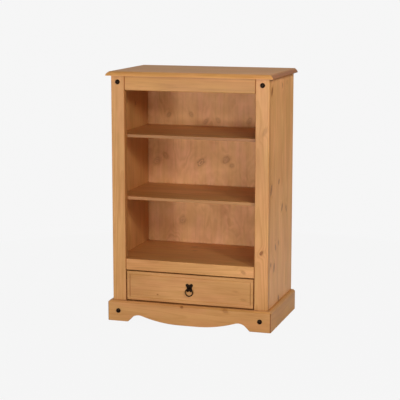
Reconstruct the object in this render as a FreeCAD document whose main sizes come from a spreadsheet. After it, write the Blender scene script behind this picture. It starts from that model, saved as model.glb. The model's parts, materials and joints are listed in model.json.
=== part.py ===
import FreeCAD, Part
import math
import os
import re
import Sketcher
from FreeCAD import Vector

# A waxed pine bookcase with two fixed shelves over one wide drawer, in millimetres.
# X runs to the right, Y to the back and Z up. The front faces -Y, and the origin is on the
# floor, halfway across the bookcase and halfway between its back and its lower studs.
# Each piece is drawn in its own frame, with X across its middle, Y from its front face and Z
# from its lower face, unless its function says otherwise, and is placed from the same sizes.

SIZES = {
    "Case": {
        "case_width": 760,          # over the outside of the side panels
        "case_depth": 458,          # front faces of the stiles to the back edges of the sides
        "case_height": 1165,        # floor to the underside of the top board
        "side_thickness": 18,
        "stile_width": 65,
        "stile_thickness": 28,
        "edge_round": 3,            # arrises of the stiles, the rails and the drawer front
        "floor_gap": 2,             # the sides and stiles end this far above the floor
        "glue_gap": 0.1,            # clearance round tenons, housings and driven shanks
        "bore_spare": 1,            # blind bores and mortises are this much deeper
    },
    "Top": {
        "top_thickness": 20,
        "top_side_overhang": 20,
        "top_front_overhang": 22,
        "top_lip": 2.5,             # square edge below the moulding
        "top_mould_width": 16,
        "top_mould_radius": 28,
        "cleat_size": 20,
    },
    "Rails": {
        "rail_setback": 1.5,        # the two upper rails stand behind the stiles' faces
        "top_rail_height": 67,
        "deck_rail_height": 54,
        "bottom_rail_height": 42,
        "tenon_length": 22,
        "tenon_thickness": 10,
        "tenon_shoulder": 8,
        "back_rail_thickness": 20,
        "back_rail_height": 60,
    },
    "Shelves": {
        "deck_height": 301,         # floor to the upper face of the deck
        "shelf_pitch": 295,
        "shelf_thickness": 15,
        "shelf_round": 2,
        "housing_depth": 6,
    },
    "Back": {
        "back_thickness": 6,
        "rebate_width": 9,
        "brad_width": 1.8,
        "brad_bite": 10,
        "brad_inset": 5,            # from the sides' inner faces into their rebates
        "brad_end_inset": 30,
        "brad_spread": 240,         # between the brads along the two back rails
    },
    "Plinth": {
        "plinth_height": 98,
        "plinth_thickness": 20,
        "plinth_bevel": 8,
        "corner_arris": 4,
        "foot_width": 100,
        "foot_slope": 45,           # slope of the foot's inner end, in degrees
        "arch_rise": 34,
        "arch_radius": 50,
        "belly_radius": 600,
        "belly_gap": 1.5,           # the apron's middle ends this far above the floor
    },
    "Drawer": {
        "drawer_front_height": 140,
        "drawer_front_thickness": 22,
        "drawer_foot_gap": 4,       # between the bottom rail and the drawer front
        "drawer_side_gap": 3.5,     # between each stile and the drawer front
        "drawer_setback": 2,        # behind the stiles' faces
        "field_border": 13,         # round the sunk field
        "field_depth": 3,
        "field_bevel": 5,           # width of the slope down to the field
        "drawer_side_thickness": 12,
        "drawer_side_height": 118,
        "drawer_back_inset": 7,     # the sides run on behind the drawer back
        "drawer_back_drop": 4,      # the drawer back ends this far below the sides' tops
        "drawer_bottom_thickness": 5,
        "drawer_bottom_lift": 8,    # lower edges of the sides to the drawer bottom
        "groove_depth": 5,
        "dovetail_length": 15,
        "dovetail_half_root": 10,   # half the width of a tail where it leaves the side
        "dovetail_half_end": 13,
    },
    "Runners": {
        "runner_width": 62,
        "runner_thickness": 18,
        "runner_rise": 2,           # the runners stand this far above the bottom rail
        "slide_gap": 0.3,
        "guide_height": 30,
        "guide_gap": 0.6,
        "kicker_gap": 2,
        "stop_length": 15,          # from the drawer's sides to the bottom back rail
        "stop_height": 24,
    },
    "Handle": {
        "handle_rise": 5,           # from the middle of the drawer front up to the staple
        "plate_thickness": 2.5,
        "ear_offset": 10,
        "ear_rise": 14.5,
        "ear_radius": 8,
        "lobe_offset": 7.5,
        "lobe_drop": 9.5,
        "lobe_radius": 7.5,
        "waist_radius": 12,
        "ear_notch_radius": 4,
        "lobe_notch_radius": 1.5,
        "ring_diameter": 41,        # over the outside
        "ring_wire": 5.5,
        "ring_gap": 0.3,
        "staple_wire": 3,
        "staple_shank": 4,
        "washer_diameter": 12,
        "washer_thickness": 1.2,
        "nut_width": 7,
        "nut_thickness": 3.2,
        "shank_spare": 2,           # the shank runs on past its nut
    },
    "Studs": {
        "stud_diameter": 24,        # across the corners
        "stud_height": 7,
        "stud_rim": 1.5,
        "stud_slope": 5,            # width of the flats round the dome
        "stud_face_bevel": 2.2,
        "stud_shank": 4,
        "stud_shank_length": 14,
        "stud_drop": 29,            # underside of the top board to the upper studs
        "stud_rise": 50,            # floor to the lower studs
    },
    "Screws": {
        "screw_diameter": 4,
        "screw_head": 8,
        "screw_head_height": 2.5,
        "screw_bite": 12,           # depth in the second piece
        "cleat_screw_inset": 40,
        "plinth_front_inset": 80,
        "plinth_side_inset": 60,
        "plinth_side_height": 45,
        "bottom_screw_diameter": 3,
        "bottom_screw_head": 6,
        "bottom_screw_inset": 90,
    },
}
CLEAT_SCREWS = 2
PLINTH_FRONT_SCREWS = 3
PLINTH_SIDE_SCREWS = 2
BOTTOM_SCREWS = 3
RAIL_BRADS = 3
SCREW_CORNER_COUNT = 6              # the screws' and the nut's sections are hexagons
WIRE_CORNER_COUNT = 8               # the forged ring's and the staple's sections are octagons
STUD_CORNER_COUNT = 12              # the studs' domes are hammered into flats
DOVETAILS = 3
BOARDS = 3                          # the deck and the two shelves
LEFT, RIGHT = -1, 1
SIDES = {"left": LEFT, "right": RIGHT}
CUT_MARGIN = "2"                    # cutters run this far past the faces they cut
TOLERANCE = 1e-4

# Places that more than one piece uses.
FRONT_REACH = "max(top_front_overhang; plinth_thickness + stud_height)"
FRONT_Y = f"(({FRONT_REACH} - case_depth) / 2)"
BACK_Y = f"(({FRONT_REACH} + case_depth) / 2)"
STILE_BACK_Y = f"({FRONT_Y} + stile_thickness)"
INNER_BACK_Y = f"({BACK_Y} - back_thickness)"
INNER_X = "(case_width / 2 - side_thickness)"
OPENING_X = "(case_width / 2 - stile_width)"
STILE_X = "(case_width / 2 - stile_width / 2)"
PLINTH_X = "(case_width / 2 + plinth_thickness)"
SIDE_DEPTH = "(case_depth - stile_thickness)"
INNER_DEPTH = "(case_depth - stile_thickness - back_thickness)"
RAIL_TO_RAIL = "(case_depth - stile_thickness - back_thickness - back_rail_thickness)"
UPRIGHT_HEIGHT = "(case_height - floor_gap)"
RUNNER_TOP_Z = "(plinth_height + runner_rise)"
PLINTH_SCREW_Z = "(plinth_height - bottom_rail_height / 2)"
DRAWER_Y = f"({FRONT_Y} + drawer_setback)"
FIELD_Y = f"({DRAWER_Y} + field_depth)"
DRAWER_FRONT_Z = "(plinth_height + drawer_foot_gap)"
DRAWER_BOX_Z = f"({RUNNER_TOP_Z} + slide_gap)"
DRAWER_X = f"({OPENING_X} - drawer_side_gap)"
DRAWER_INNER_X = f"({DRAWER_X} - drawer_side_thickness)"
DRAWER_DEPTH = (f"({RAIL_TO_RAIL} + stile_thickness - drawer_setback - stop_length - slide_gap)")
DRAWER_BACK_Y = f"({DRAWER_DEPTH} - drawer_back_inset - drawer_side_thickness)"
HANDLE_Z = f"({DRAWER_FRONT_Z} + drawer_front_height / 2 + handle_rise)"
RING_RADIUS = "((ring_diameter - ring_wire) / 2)"
EYE_RADIUS = "(ring_wire / 2 + ring_gap + staple_wire / 2)"
PIVOT_Y = f"({FIELD_Y} - plate_thickness - {EYE_RADIUS} - staple_wire / 2)"

# Lower edge, height and setback of each front rail, which its mortises share.
FRONT_RAILS = {
    "top_front_rail": ("(case_height - top_rail_height)", "top_rail_height", "rail_setback"),
    "deck_front_rail": ("(deck_height - deck_rail_height)", "deck_rail_height", "rail_setback"),
    "bottom_front_rail": ("(plinth_height - bottom_rail_height)", "bottom_rail_height", "0"),
}

doc = FreeCAD.newDocument("Bookcase")
sheet = doc.addObject("Spreadsheet::Sheet", "Sizes")
ALIASES = {alias for group in SIZES.values() for alias in group}
pieces = []


def fill_sheet():
    """Writes every size to the sheet, under its group's title and beside its alias."""
    row = 1
    for title, sizes in SIZES.items():
        sheet.set(f"A{row}", title)
        row += 1
        for alias, size in sizes.items():
            sheet.set(f"A{row}", alias)
            sheet.set(f"B{row}", str(size))
            sheet.setAlias(f"B{row}", alias)
            row += 1
    doc.recompute()


def sized(expression):
    """The expression with each alias pointed at the sheet."""
    return re.sub(r"[a-z_]+", lambda word: f"Sizes.{word[0]}" if word[0] in ALIASES else word[0],
                  expression)


def value(expression):
    return float(sheet.evalExpression(sized(expression)))


def bind(item, name, expression):
    item.setExpression(name, sized(expression))


def place(item, x="0", y="0", z="0"):
    """Puts a piece where the three expressions say and lists it for export."""
    for axis, expression in zip("xyz", (x, y, z)):
        bind(item, f"Placement.Base.{axis}", expression)
    pieces.append(item)


def spaced(inset, span, count):
    """Places that divide the stretch from inset to span - inset evenly."""
    step = f"(({span} - 2 * {inset}) / {count - 1})"
    return [f"({inset} + {index} * {step})" for index in range(count)]


# ---------------------------------------------------------------- sketches and features

def new_body(label, group=False):
    """A body, which may hold several separate solids when it is a group."""
    body = doc.addObject("PartDesign::Body", label)
    body.Label = label
    body.AllowCompound = group
    return body


def new_sketch(body, name, role, offset="0"):
    """A sketch on the body's XY, XZ or YZ plane, moved by offset along +Z, +Y or +X."""
    sketch = body.newObject("Sketcher::SketchObject", f"{body.Name}_{name}")
    plane = next(item for item in body.Origin.OriginFeatures if item.Role == f"{role}_Plane")
    sketch.AttachmentSupport = (plane, "")
    sketch.MapMode = "FlatFace"
    bind(sketch, "AttachmentOffset.Base.z", f"0 - ({offset})" if role == "XZ" else offset)
    return sketch


def limit(sketch, kind, expression, *geometry):
    """A dimension of the sketch, bound to an expression."""
    index = sketch.addConstraint(Sketcher.Constraint(kind, *geometry, value(expression)))
    bind(sketch, f"Constraints[{index}]", expression)


def pin_point(sketch, edge, end, across, up):
    limit(sketch, "DistanceX", across, -1, 1, edge, end)
    limit(sketch, "DistanceY", up, -1, 1, edge, end)


def point(across, up):
    return Vector(value(across), value(up), 0)


def arc_round(centre, start, finish):
    """The anticlockwise arc round centre from start to finish."""
    ends = [math.atan2(spot.y - centre.y, spot.x - centre.x) for spot in (start, finish)]
    return Part.ArcOfCircle(Part.Circle(centre, Vector(0, 0, 1), (start - centre).Length), *ends)


def outline(sketch, corners, arcs=None):
    """A closed outline through the corners, straight but for the runs listed in arcs.

    arcs maps a run's number to its centre, radius and turn: 1 anticlockwise, -1 clockwise."""
    arcs = arcs or {}
    count = len(corners)
    points = [point(*corner) for corner in corners]
    first = sketch.GeometryCount
    ends = []
    for index in range(count):
        run = points[index], points[(index + 1) % count]
        turn = 1
        if index in arcs:
            centre, _, turn = arcs[index]
            sketch.addGeometry(arc_round(point(*centre), *run[::turn]))
        else:
            sketch.addGeometry(Part.LineSegment(*run))
        ends.append((1, 2)[::turn])
    for index, corner in enumerate(corners):
        following = (index + 1) % count
        sketch.addConstraint(Sketcher.Constraint(
            "Coincident", first + index, ends[index][1], first + following, ends[following][0]))
        pin_point(sketch, first + index, ends[index][0], *corner)
        if index in arcs:
            limit(sketch, "Radius", arcs[index][1], first + index)


def rectangle(sketch, left, low, right, high):
    outline(sketch, [(left, low), (right, low), (right, high), (left, high)])


def polygon(sketch, across, up, width, sides):
    """A regular polygon, measured across its corners."""
    turns = [180 * (2 * corner + 1) / sides for corner in range(sides)]
    outline(sketch, [(f"{across} + {width} / 2 * cos({turn})", f"{up} + {width} / 2 * sin({turn})")
                     for turn in turns])


def square(sketch, across, up, width):
    rectangle(sketch, f"{across} - ({width}) / 2", f"{up} - ({width}) / 2",
              f"{across} + ({width}) / 2", f"{up} + ({width}) / 2")


def circle(sketch, across, up, diameter):
    edge = sketch.addGeometry(Part.Circle(point(across, up), Vector(0, 0, 1), value(diameter) / 2))
    pin_point(sketch, edge, 3, across, up)
    limit(sketch, "Diameter", diameter, edge)


def pad(body, sketch, length, reverse=False, symmetric=False):
    feature = body.newObject("PartDesign::Pad", f"{sketch.Name}_pad")
    feature.Profile = sketch
    feature.Reversed = reverse
    feature.SideType = "Symmetric" if symmetric else "One side"
    bind(feature, "Length", length)
    return feature


def pocket(body, sketch, depth=None, reverse=False, symmetric=False):
    """Cuts the sketch out of the body, right through where no depth is given."""
    before = volume(body)
    feature = body.newObject("PartDesign::Pocket", f"{sketch.Name}_cut")
    feature.Profile = sketch
    feature.Reversed = reverse
    feature.SideType = "Symmetric" if symmetric else "One side"
    if depth is None:
        feature.Type = "ThroughAll"
    else:
        bind(feature, "Length", depth)
    if volume(body) > before - TOLERANCE:
        raise RuntimeError(f"{feature.Name} cuts nothing")
    return feature


def volume(body):
    doc.recompute()
    return body.Shape.Volume


def edges_where(feature, test):
    """Names of the feature's edges whose ends and middle all pass the test."""
    doc.recompute()
    names = []
    for number, edge in enumerate(feature.Shape.Edges, 1):
        low, high = edge.ParameterRange
        if all(test(edge.valueAt(where)) for where in (low, (low + high) / 2, high)):
            names.append(f"Edge{number}")
    if not names:
        raise RuntimeError(f"{feature.Name} has no such edges")
    return names


def near(number, expression):
    return abs(number - value(expression)) < TOLERANCE


def soften(body, kind, base, size, test):
    """A Fillet or a Chamfer on the edges of base that pass the test."""
    names = edges_where(base, test)
    feature = body.newObject(f"PartDesign::{kind}", f"{base.Name}_{kind.lower()}")
    feature.Base = (base, names)
    bind(feature, "Radius" if kind == "Fillet" else "Size", size)
    return feature


def turn(body, sketch, axis):
    """A solid of revolution round one of its sketch's axes."""
    feature = body.newObject("PartDesign::Revolution", f"{sketch.Name}_turned")
    feature.Profile = sketch
    feature.ReferenceAxis = (sketch, [axis])
    return feature


def repeat(body, feature, sketch, axis, length, count):
    """Repeats a feature along one of its sketch's axes, the last one at the full length."""
    pattern = body.newObject("PartDesign::LinearPattern", f"{feature.Name}_row")
    pattern.Originals = [feature]
    pattern.Direction = (sketch, [axis])
    bind(pattern, "Length", length)
    pattern.Occurrences = count
    body.Tip = pattern
    return pattern


def board(label, width, depth, height):
    body = new_body(label)
    sketch = new_sketch(body, "plan", "XY")
    rectangle(sketch, f"0 - {width} / 2", "0", f"{width} / 2", depth)
    return body, pad(body, sketch, height)


def block(label, width, depth, height):
    """A plain block, measured from its low, left, front corner."""
    item = doc.addObject("Part::Box", label)
    item.Label = label
    for name, expression in (("Length", width), ("Width", depth), ("Height", height)):
        bind(item, name, expression)
    return item


# ---------------------------------------------------------------- case

def shelf_z(level):
    """Lower face of the deck, which is level 0, or of a shelf."""
    return f"(deck_height - shelf_thickness + {level} * shelf_pitch)"


def plinth_side_places():
    """Distances of the plinth's side screws behind the stiles."""
    return spaced("plinth_side_inset", SIDE_DEPTH, PLINTH_SIDE_SCREWS)


def plinth_front_places():
    """Places across of the screws that hold the plinth's front to the bottom rail."""
    places = spaced("plinth_front_inset", f"(2 * {OPENING_X})", PLINTH_FRONT_SCREWS)
    return [f"({across} - {OPENING_X})" for across in places]


def side_brad_heights():
    """Heights of the brads along each side, clear of the deck and the shelves."""
    thirds = [f"(deck_height + {third} * shelf_pitch / 3)" for third in (1, 2, 4, 5, 7)]
    return ["brad_end_inset", "(deck_height / 2)", *thirds, "(case_height - brad_end_inset)"]


def make_side_panel(side, label):
    """A side board, housed for the deck and shelves and rebated for the back."""
    inner = f"(0 - {side} * side_thickness / 2)"
    outer = f"({side} * side_thickness / 2)"
    rebate = f"({inner} + {side} * rebate_width)"
    body = new_body(label)
    plan = new_sketch(body, "plan", "XY")
    outline(plan, [(inner, "0"), (outer, "0"), (outer, SIDE_DEPTH), (rebate, SIDE_DEPTH),
                   (rebate, INNER_DEPTH), (inner, INNER_DEPTH)])
    pad(body, plan, UPRIGHT_HEIGHT)
    housing = new_sketch(body, "housing", "YZ", inner)
    foot = f"({shelf_z(0)} - floor_gap - glue_gap)"
    rectangle(housing, f"0 - {CUT_MARGIN}", foot,
              f"{INNER_DEPTH} + {CUT_MARGIN}", f"{foot} + shelf_thickness + 2 * glue_gap")
    cut = pocket(body, housing, "housing_depth", reverse=side == RIGHT)
    repeat(body, cut, housing, "V_Axis", f"{BOARDS - 1} * shelf_pitch", BOARDS)
    holes = new_sketch(body, "plinth_holes", "YZ", inner)
    for depth in plinth_side_places():
        circle(holes, depth, "plinth_side_height - floor_gap", "screw_diameter + 2 * glue_gap")
    pocket(body, holes, reverse=side == RIGHT)
    bores = new_sketch(body, "brad_bores", "XZ", INNER_DEPTH)
    for height in side_brad_heights():
        square(bores, f"{inner} + {side} * brad_inset", f"{height} - floor_gap",
               "brad_width + 2 * glue_gap")
    pocket(body, bores, "brad_bite + bore_spare", reverse=True)
    place(body, f"{side} * (case_width - side_thickness) / 2", STILE_BACK_Y, "floor_gap")


def make_stile(side, label):
    """A front post, with a mortise for each rail and the bore of its iron stud."""
    body, post = board(label, "stile_width", "stile_thickness", UPRIGHT_HEIGHT)
    soften(body, "Fillet", post, "edge_round",
           lambda spot: near(spot.y, "0") and near(abs(spot.x), "stile_width / 2"))
    mortises = new_sketch(body, "mortises", "YZ", f"0 - {side} * stile_width / 2")
    for low, height, _ in FRONT_RAILS.values():
        rectangle(mortises, "(stile_thickness - tenon_thickness) / 2 - glue_gap",
                  f"{low} + tenon_shoulder - floor_gap - glue_gap",
                  "(stile_thickness + tenon_thickness) / 2 + glue_gap",
                  f"{low} + {height} - tenon_shoulder - floor_gap + glue_gap")
    pocket(body, mortises, "tenon_length + bore_spare", reverse=side == RIGHT)
    bore = new_sketch(body, "stud_bore", "XZ")
    square(bore, "0", f"{UPRIGHT_HEIGHT} - stud_drop", "stud_shank + 2 * glue_gap")
    pocket(body, bore, "stud_shank_length + bore_spare")
    place(body, f"{side} * {STILE_X}", FRONT_Y, "floor_gap")


def make_front_rail(label, low, height, setback):
    """A rail between the stiles, flush with their backs, with a stub tenon at each end."""
    body, rail = board(label, f"(2 * {OPENING_X})", f"(stile_thickness - {setback})", height)
    screwed = label == "bottom_front_rail"
    if not screwed:
        soften(body, "Fillet", rail, "edge_round", lambda spot: near(spot.y, "0"))
    tenon = new_sketch(body, "tenon", "YZ")
    middle = f"(stile_thickness / 2 - {setback})"
    rectangle(tenon, f"{middle} - tenon_thickness / 2", "tenon_shoulder",
              f"{middle} + tenon_thickness / 2", f"{height} - tenon_shoulder")
    pad(body, tenon, f"2 * {OPENING_X} + 2 * tenon_length", symmetric=True)
    if screwed:
        holes = new_sketch(body, "plinth_holes", "XZ")
        for across in plinth_front_places():
            circle(holes, across, f"{PLINTH_SCREW_Z} - {low}", "screw_diameter + 2 * glue_gap")
        pocket(body, holes)
    place(body, "0", f"{FRONT_Y} + {setback}", low)


def make_shelf(label, level):
    """A board housed in both sides. Shelves have a rounded front edge, the deck a square one."""
    width = f"(2 * ({INNER_X} + housing_depth - glue_gap))"
    body, panel = board(label, width, INNER_DEPTH, "shelf_thickness")
    if level:
        soften(body, "Fillet", panel, "shelf_round",
               lambda spot: near(spot.y, "0") and (near(spot.z, "0") or near(spot.z, "shelf_thickness")))
    place(body, "0", STILE_BACK_Y, shelf_z(level))


def make_back():
    """The back panel in the sides' rebates, its two rails and the brads that hold it."""
    half = f"({INNER_X} + rebate_width - glue_gap)"
    body, _ = board("back_panel", f"(2 * {half})", "back_thickness", UPRIGHT_HEIGHT)
    side_brads = [(f"({side} * ({INNER_X} + brad_inset))", height)
                  for side in SIDES.values() for height in side_brad_heights()]
    rail_heights = {"top_back_rail": "(case_height - back_rail_height)",
                    "bottom_back_rail": "(plinth_height - back_rail_height)"}
    rail_places = [f"({number - 1} * brad_spread)" for number in range(RAIL_BRADS)]
    rail_brads = [(across, f"({low} + back_rail_height / 2)")
                  for low in rail_heights.values() for across in rail_places]
    holes = new_sketch(body, "brad_holes", "XZ")
    for across, height in side_brads + rail_brads:
        square(holes, across, f"{height} - floor_gap", "brad_width + 2 * glue_gap")
    pocket(body, holes)
    place(body, "0", INNER_BACK_Y, "floor_gap")

    for label, low in rail_heights.items():
        rail, _ = board(label, f"(2 * {INNER_X})", "back_rail_thickness", "back_rail_height")
        bores = new_sketch(rail, "brad_bores", "XZ", "back_rail_thickness")
        for across in rail_places:
            square(bores, across, "back_rail_height / 2", "brad_width + 2 * glue_gap")
        pocket(rail, bores, "brad_bite + bore_spare", reverse=True)
        place(rail, "0", f"{INNER_BACK_Y} - back_rail_thickness", low)

    brads = new_body("back_panel_brads", group=True)
    plan = new_sketch(brads, "plan", "XZ")
    for across, height in side_brads + rail_brads:
        square(plan, across, height, "brad_width")
    pad(brads, plan, "back_thickness + brad_bite")
    place(brads, "0", BACK_Y)


def make_top():
    """The top board, moulded along its front and both ends, drawn across its own middle."""
    half = "(case_width / 2 + top_side_overhang)"
    flat = f"({half} - top_mould_width)"
    drop = "(top_thickness - top_lip)"
    chord = f"sqrt(top_mould_width ^ 2 + {drop} ^ 2)"
    reach = f"sqrt(top_mould_radius ^ 2 - {chord} ^ 2 / 4)"
    centre_in = f"(top_mould_width / 2 + {reach} * {drop} / {chord})"
    centre_z = f"((top_thickness + top_lip) / 2 - {reach} * top_mould_width / {chord})"
    body = new_body("top_board")
    profile = new_sketch(body, "profile", "XZ")
    corners = [(f"0 - {half}", "0"), (half, "0"), (half, "top_lip"), (flat, "top_thickness"),
               (f"0 - {flat}", "top_thickness"), (f"0 - {half}", "top_lip")]
    outline(profile, corners,
            {2: ((f"({half} - {centre_in})", centre_z), "top_mould_radius", 1),
             4: ((f"({centre_in} - {half})", centre_z), "top_mould_radius", 1)})
    pad(body, profile, "case_depth + top_front_overhang", reverse=True)
    front = new_sketch(body, "front_mould", "YZ")
    above = f"(top_thickness + {CUT_MARGIN})"
    outline(front, [("top_mould_width", "top_thickness"), ("0", "top_lip"),
                    (f"0 - {CUT_MARGIN}", "top_lip"), (f"0 - {CUT_MARGIN}", above),
                    ("top_mould_width", above)],
            {0: ((centre_in, centre_z), "top_mould_radius", 1)})
    pocket(body, front, f"2 * {half} + 2 * {CUT_MARGIN}", symmetric=True)
    bores = new_sketch(body, "cleat_bores", "XY")
    for across, depth in cleat_screw_places():
        circle(bores, across, f"{depth} + top_front_overhang + stile_thickness",
               "screw_diameter + 2 * glue_gap")
    pocket(body, bores, "screw_bite + bore_spare", reverse=True)
    place(body, "0", f"{FRONT_Y} - top_front_overhang", "case_height")


def cleat_screw_places():
    """Place across the case and distance behind the stiles of each cleat screw."""
    return [(f"({side} * ({INNER_X} - cleat_size / 2))", depth) for side in SIDES.values()
            for depth in spaced("cleat_screw_inset", RAIL_TO_RAIL, CLEAT_SCREWS)]


def make_cleat(side, label):
    body, _ = board(label, "cleat_size", RAIL_TO_RAIL, "cleat_size")
    holes = new_sketch(body, "screw_holes", "XY")
    for depth in spaced("cleat_screw_inset", RAIL_TO_RAIL, CLEAT_SCREWS):
        circle(holes, "0", depth, "screw_diameter + 2 * glue_gap")
    pocket(body, holes, reverse=True)
    place(body, f"{side} * ({INNER_X} - cleat_size / 2)", STILE_BACK_Y, "case_height - cleat_size")


# ---------------------------------------------------------------- plinth

def plinth_profile(body, role, inward):
    """Section of the plinth from its outer lower edge, with the bevel along its top."""
    sketch = new_sketch(body, "profile", role)
    back = f"({inward} * plinth_thickness)"
    outline(sketch, [("0", "0"), (back, "0"), (back, "plinth_height"),
                     (f"{inward} * plinth_bevel", "plinth_height"),
                     ("0", "plinth_height - plinth_bevel")])
    return sketch


def scallop(sketch):
    """The gap under the front: a foot at each end, two arches and a low belly between them."""
    foot = f"({PLINTH_X} - foot_width)"
    arch_z = "(arch_rise - arch_radius)"
    arch_x = f"({foot} - (arch_radius + {arch_z} * cos(foot_slope)) / sin(foot_slope))"
    belly_z = "(belly_gap + belly_radius)"
    reach = "(arch_radius + belly_radius)"
    belly_x = f"({arch_x} - sqrt({reach} ^ 2 - ({belly_z} - {arch_z}) ^ 2))"
    share = f"(arch_radius / {reach})"
    below = f"(0 - {CUT_MARGIN})"
    right = [
        (foot, below),
        (foot, "0"),
        (f"({arch_x} + arch_radius * sin(foot_slope))",
         f"({arch_z} + arch_radius * cos(foot_slope))"),
        (f"({arch_x} + ({belly_x} - {arch_x}) * {share})",
         f"({arch_z} + ({belly_z} - {arch_z}) * {share})"),
        (belly_x, "belly_gap"),
    ]
    left = [(f"(0 - {across})", up) for across, up in reversed(right)]
    arcs = {2: ((arch_x, arch_z), "arch_radius", 1),
            3: ((belly_x, belly_z), "belly_radius", -1),
            5: ((f"(0 - {belly_x})", belly_z), "belly_radius", -1),
            6: ((f"(0 - {arch_x})", arch_z), "arch_radius", 1)}
    outline(sketch, right + left, arcs)


def make_plinth_front():
    """The scalloped board across the front, mitred at its ends to the two side boards."""
    body = new_body("plinth_front")
    pad(body, plinth_profile(body, "YZ", 1), f"2 * {PLINTH_X}", symmetric=True)
    gap = new_sketch(body, "scallop", "XZ")
    scallop(gap)
    pocket(body, gap)
    ends = new_sketch(body, "mitres", "XY")
    past = f"(plinth_thickness + {CUT_MARGIN})"
    for side in SIDES.values():
        outline(ends, [
            (f"{side} * ({PLINTH_X} - corner_arris - {CUT_MARGIN})", f"0 - {CUT_MARGIN}"),
            (f"{side} * ({PLINTH_X} - corner_arris / 2)", "corner_arris / 2"),
            (f"{side} * ({PLINTH_X} - {past})", past),
            (f"{side} * ({PLINTH_X} + {CUT_MARGIN})", past),
            (f"{side} * ({PLINTH_X} + {CUT_MARGIN})", f"0 - {CUT_MARGIN}")])
    pocket(body, ends, reverse=True)
    screws = new_sketch(body, "screw_bores", "XZ", "plinth_thickness")
    for across in plinth_front_places():
        circle(screws, across, PLINTH_SCREW_Z, "screw_diameter + 2 * glue_gap")
    pocket(body, screws, "screw_bite + bore_spare", reverse=True)
    studs = new_sketch(body, "stud_bores", "XZ")
    for side in SIDES.values():
        square(studs, f"{side} * {STILE_X}", "stud_rise", "stud_shank + 2 * glue_gap")
    pocket(body, studs, "stud_shank_length + bore_spare")
    place(body, "0", f"{FRONT_Y} - plinth_thickness")


def make_plinth_side(side, label):
    """A side board of the plinth, measured from its outer face and its mitred front end."""
    body = new_body(label)
    pad(body, plinth_profile(body, "XZ", -side), "case_depth + plinth_thickness", reverse=True)
    end = new_sketch(body, "mitre", "XY")
    past = f"(plinth_thickness + {CUT_MARGIN})"
    outline(end, [
        (f"{side} * {CUT_MARGIN}", f"corner_arris + {CUT_MARGIN}"),
        (f"0 - {side} * corner_arris / 2", "corner_arris / 2"),
        (f"0 - {side} * {past}", past),
        (f"0 - {side} * {past}", f"0 - {CUT_MARGIN}"),
        (f"{side} * {CUT_MARGIN}", f"0 - {CUT_MARGIN}")])
    pocket(body, end, reverse=True)
    bores = new_sketch(body, "screw_bores", "YZ", f"0 - {side} * plinth_thickness")
    for depth in plinth_side_places():
        circle(bores, f"{depth} + plinth_thickness + stile_thickness", "plinth_side_height",
               "screw_diameter + 2 * glue_gap")
    pocket(body, bores, "screw_bite + bore_spare", reverse=side == RIGHT)
    place(body, f"{side} * {PLINTH_X}", f"{FRONT_Y} - plinth_thickness")


# ---------------------------------------------------------------- screws and studs

def make_screws(label, role, spots, shank, size, reverse=False):
    """Hexagon-headed screws at spots of a plane, with the undersides of their heads on it.

    The shanks point along the plane's own normal, or against it where reverse is set."""
    body = new_body(label, group=True)
    for part, width, length in (("shanks", f"{size}_diameter", shank),
                                ("heads", f"{size}_head", "screw_head_height")):
        sketch = new_sketch(body, part, role)
        for across, up in spots:
            polygon(sketch, across, up, width, SCREW_CORNER_COUNT)
        pad(body, sketch, length, reverse=reverse == (part == "shanks"))
    return body


def make_all_screws():
    cleats = make_screws("top_cleat_screws", "XY", cleat_screw_places(),
                         "cleat_size + screw_bite", "screw")
    place(cleats, "0", STILE_BACK_Y, "case_height - cleat_size")
    front = make_screws("plinth_front_screws", "XZ",
                        [(across, PLINTH_SCREW_Z) for across in plinth_front_places()],
                        "stile_thickness + screw_bite", "screw")
    place(front, "0", STILE_BACK_Y)
    for name, side in SIDES.items():
        screws = make_screws(f"{name}_plinth_screws", "YZ",
                             [(depth, "plinth_side_height") for depth in plinth_side_places()],
                             "side_thickness + screw_bite", "screw", reverse=side == LEFT)
        place(screws, f"{side} * {INNER_X}", STILE_BACK_Y)


def make_stud(label, x, y, z):
    """An iron stud: a dome hammered into flats in two rows, on a square shank."""
    body = new_body(label)
    blank = new_sketch(body, "blank", "XZ")
    polygon(blank, "0", "0", "stud_diameter", STUD_CORNER_COUNT)
    dome = soften(body, "Chamfer", pad(body, blank, "stud_height"), "stud_height - stud_rim",
                  lambda spot: near(spot.y, "0 - stud_height"))
    dome.ChamferType = "Two distances"
    bind(dome, "Size2", "stud_slope")
    soften(body, "Chamfer", dome, "stud_face_bevel", lambda spot: near(spot.y, "0 - stud_height"))
    shank = new_sketch(body, "shank", "XZ")
    square(shank, "0", "0", "stud_shank")
    pad(body, shank, "stud_shank_length", reverse=True)
    place(body, x, y, z)


# ---------------------------------------------------------------- drawer and its way

def make_drawer_way(name, side):
    """Runner under the drawer's side, guide beside it and kicker over it, all on one panel."""
    guide_width = f"({INNER_X} - {DRAWER_X} - guide_gap)"
    bars = {
        "runner": ("runner_width", "runner_thickness", f"({RUNNER_TOP_Z} - runner_thickness)"),
        "guide": (guide_width, "guide_height", RUNNER_TOP_Z),
        "kicker": ("runner_width", "runner_thickness",
                   f"({DRAWER_BOX_Z} + drawer_side_height + kicker_gap)"),
    }
    for part, (width, height, low) in bars.items():
        bar = block(f"{name}_drawer_{part}", width, RAIL_TO_RAIL, height)
        edge = f"({INNER_X} - {width})" if side == RIGHT else f"(0 - {INNER_X})"
        place(bar, edge, STILE_BACK_Y, low)


def make_drawer_stops():
    """Two blocks on the runners' back ends, beside the guides, that stop the drawer's sides."""
    inner = f"({INNER_X} - runner_width)"
    outer = f"({DRAWER_X} + guide_gap)"
    start = f"({INNER_BACK_Y} - back_rail_thickness - stop_length)"
    body = new_body("drawer_stops", group=True)
    plan = new_sketch(body, "plan", "XY")
    for side in SIDES.values():
        rectangle(plan, f"{side} * {inner}", "0", f"{side} * {outer}", "stop_length")
    pad(body, plan, "stop_height")
    place(body, "0", start, RUNNER_TOP_Z)


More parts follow.
